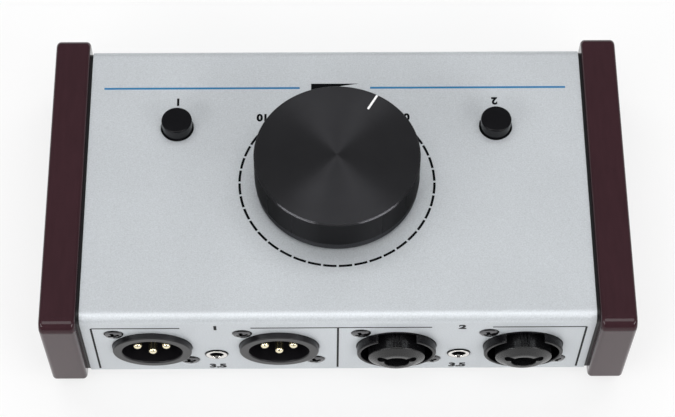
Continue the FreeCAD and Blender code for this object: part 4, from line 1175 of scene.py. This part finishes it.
def floor_finish(board, settings):
    """Pale floor: a white ground to the camera and to gloss, which still takes a soft shadow."""
    board.finish(Base_Color=FLOOR_GREY, Roughness=0.9, Specular_IOR_Level=0.0)
    seen = board.ray("Camera") | board.ray("Glossy") | board.ray("Transmission")
    ground = board.node("ShaderNodeEmission", {}, {"Color": shade((settings.floor_white,) * 3)})
    lit = Value(board, board.tree.nodes["Principled BSDF"].outputs[0])
    blend = board.node("ShaderNodeMixShader", {},
                       {0: seen * (1.0 - settings.floor_share), 1: lit, 2: ground})
    board.feed(board.tree.nodes["Material Output"].inputs["Surface"], blend)
    return board.owner


def soft_light(name, place, aim, size, power):
    lamp = bpy.data.lights.new(name, "AREA")
    lamp.shape = "RECTANGLE"
    lamp.size, lamp.size_y = size
    lamp.energy = power
    item = linked(name, lamp)
    item.location = place
    item.rotation_euler = (Vector(aim) - Vector(place)).to_track_quat("-Z", "Y").to_euler()
    return item


def add_lamps(settings):
    """Soft lights over the front and the rear, and at each rear corner a strip and a glint."""
    key = soft_light("key", KEY_PLACE, CASE_MIDDLE, KEY_SIZE, settings.key_power)
    key.visible_glossy = False
    soft_light("top", TOP_PLACE, CASE_MIDDLE, TOP_SIZE, settings.top_power)
    for side in (-1, 1):
        place = (side * CORNER_PLACE[0], *CORNER_PLACE[1:])
        soft_light("side", place, CORNER_AIM, STRIP_SIZE, settings.side_power)
        glint = soft_light("glint", place, CORNER_AIM, GLINT_SIZE, settings.glint_power)
        glint.visible_diffuse = False


def add_camera(settings):
    camera = bpy.data.cameras.new("camera")
    camera.lens = settings.lens
    camera.sensor_width = 36.0
    camera.clip_start = 0.01
    item = linked("camera", camera)
    item.location = settings.camera_place
    item.rotation_euler = Euler(settings.camera_turn)
    bpy.context.scene.camera = item


def add_floor(settings):
    disc = bmesh.new()
    bmesh.ops.create_circle(disc, cap_ends=True, segments=96, radius=settings.floor_radius)
    item = linked("floor", mesh_of(disc, "floor"))
    item.data.materials.append(floor_finish(Board(bpy.data.materials.new("pale floor")), settings))


# ---------------------------------------------------------------- operators
class CONTROLLER_OT_cover(bpy.types.Operator):
    """Bend the silver cover and cut its holes"""
    bl_idname = "controller.cover"
    bl_label = "Cover"

    def execute(self, context):
        add_cover(context.scene.case_sizes, context.scene.socket_sizes)
        return {"FINISHED"}


class CONTROLLER_OT_cheeks(bpy.types.Operator):
    """Shape the two lacquered cheeks"""
    bl_idname = "controller.cheeks"
    bl_label = "Cheeks"

    def execute(self, context):
        for side in ("left", "right"):
            add_cheek(side + "_lacquered_cheek", side + "_cheek", context.scene.case_sizes)
        return {"FINISHED"}


class CONTROLLER_OT_feet(bpy.types.Operator):
    """Mould the four feet"""
    bl_idname = "controller.feet"
    bl_label = "Feet"

    def execute(self, context):
        add_feet(context.scene.case_sizes)
        return {"FINISHED"}


class CONTROLLER_OT_knob(bpy.types.Operator):
    """Turn the knob and fill its pointer"""
    bl_idname = "controller.knob"
    bl_label = "Volume knob"

    def execute(self, context):
        add_knob(context.scene.control_sizes)
        return {"FINISHED"}


class CONTROLLER_OT_buttons(bpy.types.Operator):
    """Mould the two button caps"""
    bl_idname = "controller.buttons"
    bl_label = "Buttons"

    def execute(self, context):
        for name in BUTTONS:
            add_button(name, context.scene.control_sizes)
        return {"FINISHED"}


class CONTROLLER_OT_outputs(bpy.types.Operator):
    """Mould the output sockets' shells and set their pins"""
    bl_idname = "controller.outputs"
    bl_label = "Output sockets"

    def execute(self, context):
        for name in OUTPUTS:
            add_output(name, context.scene.socket_sizes)
            add_pins(name, context.scene.socket_sizes)
        return {"FINISHED"}


class CONTROLLER_OT_inputs(bpy.types.Operator):
    """Mould the housings, faces and ribs of the input sockets"""
    bl_idname = "controller.inputs"
    bl_label = "Input sockets"

    def execute(self, context):
        for name in INPUTS:
            add_input(name, context.scene.socket_sizes)
        return {"FINISHED"}


class CONTROLLER_OT_small_parts(bpy.types.Operator):
    """Make the socket screws and the small jacks' noses and rings"""
    bl_idname = "controller.small_parts"
    bl_label = "Screws and small jacks"

    def execute(self, context):
        add_socket_screws(context.scene.socket_sizes)
        for name in MINI_JACKS:
            add_small_jack(name, context.scene.socket_sizes)
        return {"FINISHED"}


class CONTROLLER_OT_prints(bpy.types.Operator):
    """Print the dial, the lines and the figures"""
    bl_idname = "controller.prints"
    bl_label = "Printed marks"

    def execute(self, context):
        add_prints(context.scene.print_sizes)
        return {"FINISHED"}


class CONTROLLER_OT_inner(bpy.types.Operator):
    """Give the inner pieces their finishes"""
    bl_idname = "controller.inner"
    bl_label = "Inner pieces"

    def execute(self, context):
        dress_inner_pieces()
        return {"FINISHED"}


class CONTROLLER_OT_stage(bpy.types.Operator):
    """Set the floor, the sky, the soft lights and the camera"""
    bl_idname = "controller.stage"
    bl_label = "Stage"

    def execute(self, context):
        scene, settings = context.scene, context.scene.stage_settings
        scene.world = scene.world or bpy.data.worlds.new("world")
        scene.view_settings.view_transform = "Standard"
        sky(Board(scene.world), settings)
        add_floor(settings)
        add_lamps(settings)
        add_camera(settings)
        return {"FINISHED"}


STEPS = ("cover", "cheeks", "feet", "knob", "buttons", "outputs", "inputs", "small_parts",
         "prints", "inner", "stage")


class CONTROLLER_PT_panel(bpy.types.Panel):
    """Lists the steps that build the controller"""
    bl_idname = "CONTROLLER_PT_panel"
    bl_label = "Monitor controller"
    bl_space_type = "VIEW_3D"
    bl_region_type = "UI"
    bl_category = "Controller"

    def draw(self, context):
        for step in STEPS:
            self.layout.operator("controller." + step)


SETTINGS = {"case_sizes": CaseSizes, "control_sizes": ControlSizes, "socket_sizes": SocketSizes,
            "print_sizes": PrintSizes, "finish_colours": FinishColours,
            "stage_settings": StageSettings}
CLASSES = (CONTROLLER_OT_cover, CONTROLLER_OT_cheeks, CONTROLLER_OT_feet, CONTROLLER_OT_knob,
           CONTROLLER_OT_buttons, CONTROLLER_OT_outputs, CONTROLLER_OT_inputs,
           CONTROLLER_OT_small_parts, CONTROLLER_OT_prints, CONTROLLER_OT_inner,
           CONTROLLER_OT_stage, CONTROLLER_PT_panel)


def register():
    for cls in tuple(SETTINGS.values()) + CLASSES:
        bpy.utils.register_class(cls)
    for name, group in SETTINGS.items():
        setattr(bpy.types.Scene, name, PointerProperty(type=group))


def unregister():
    for name in SETTINGS:
        delattr(bpy.types.Scene, name)
    for cls in reversed(tuple(SETTINGS.values()) + CLASSES):
        bpy.utils.unregister_class(cls)


def main():
    register()
    for step in STEPS:
        getattr(bpy.ops.controller, step)()


if __name__ == "__main__":
    main()
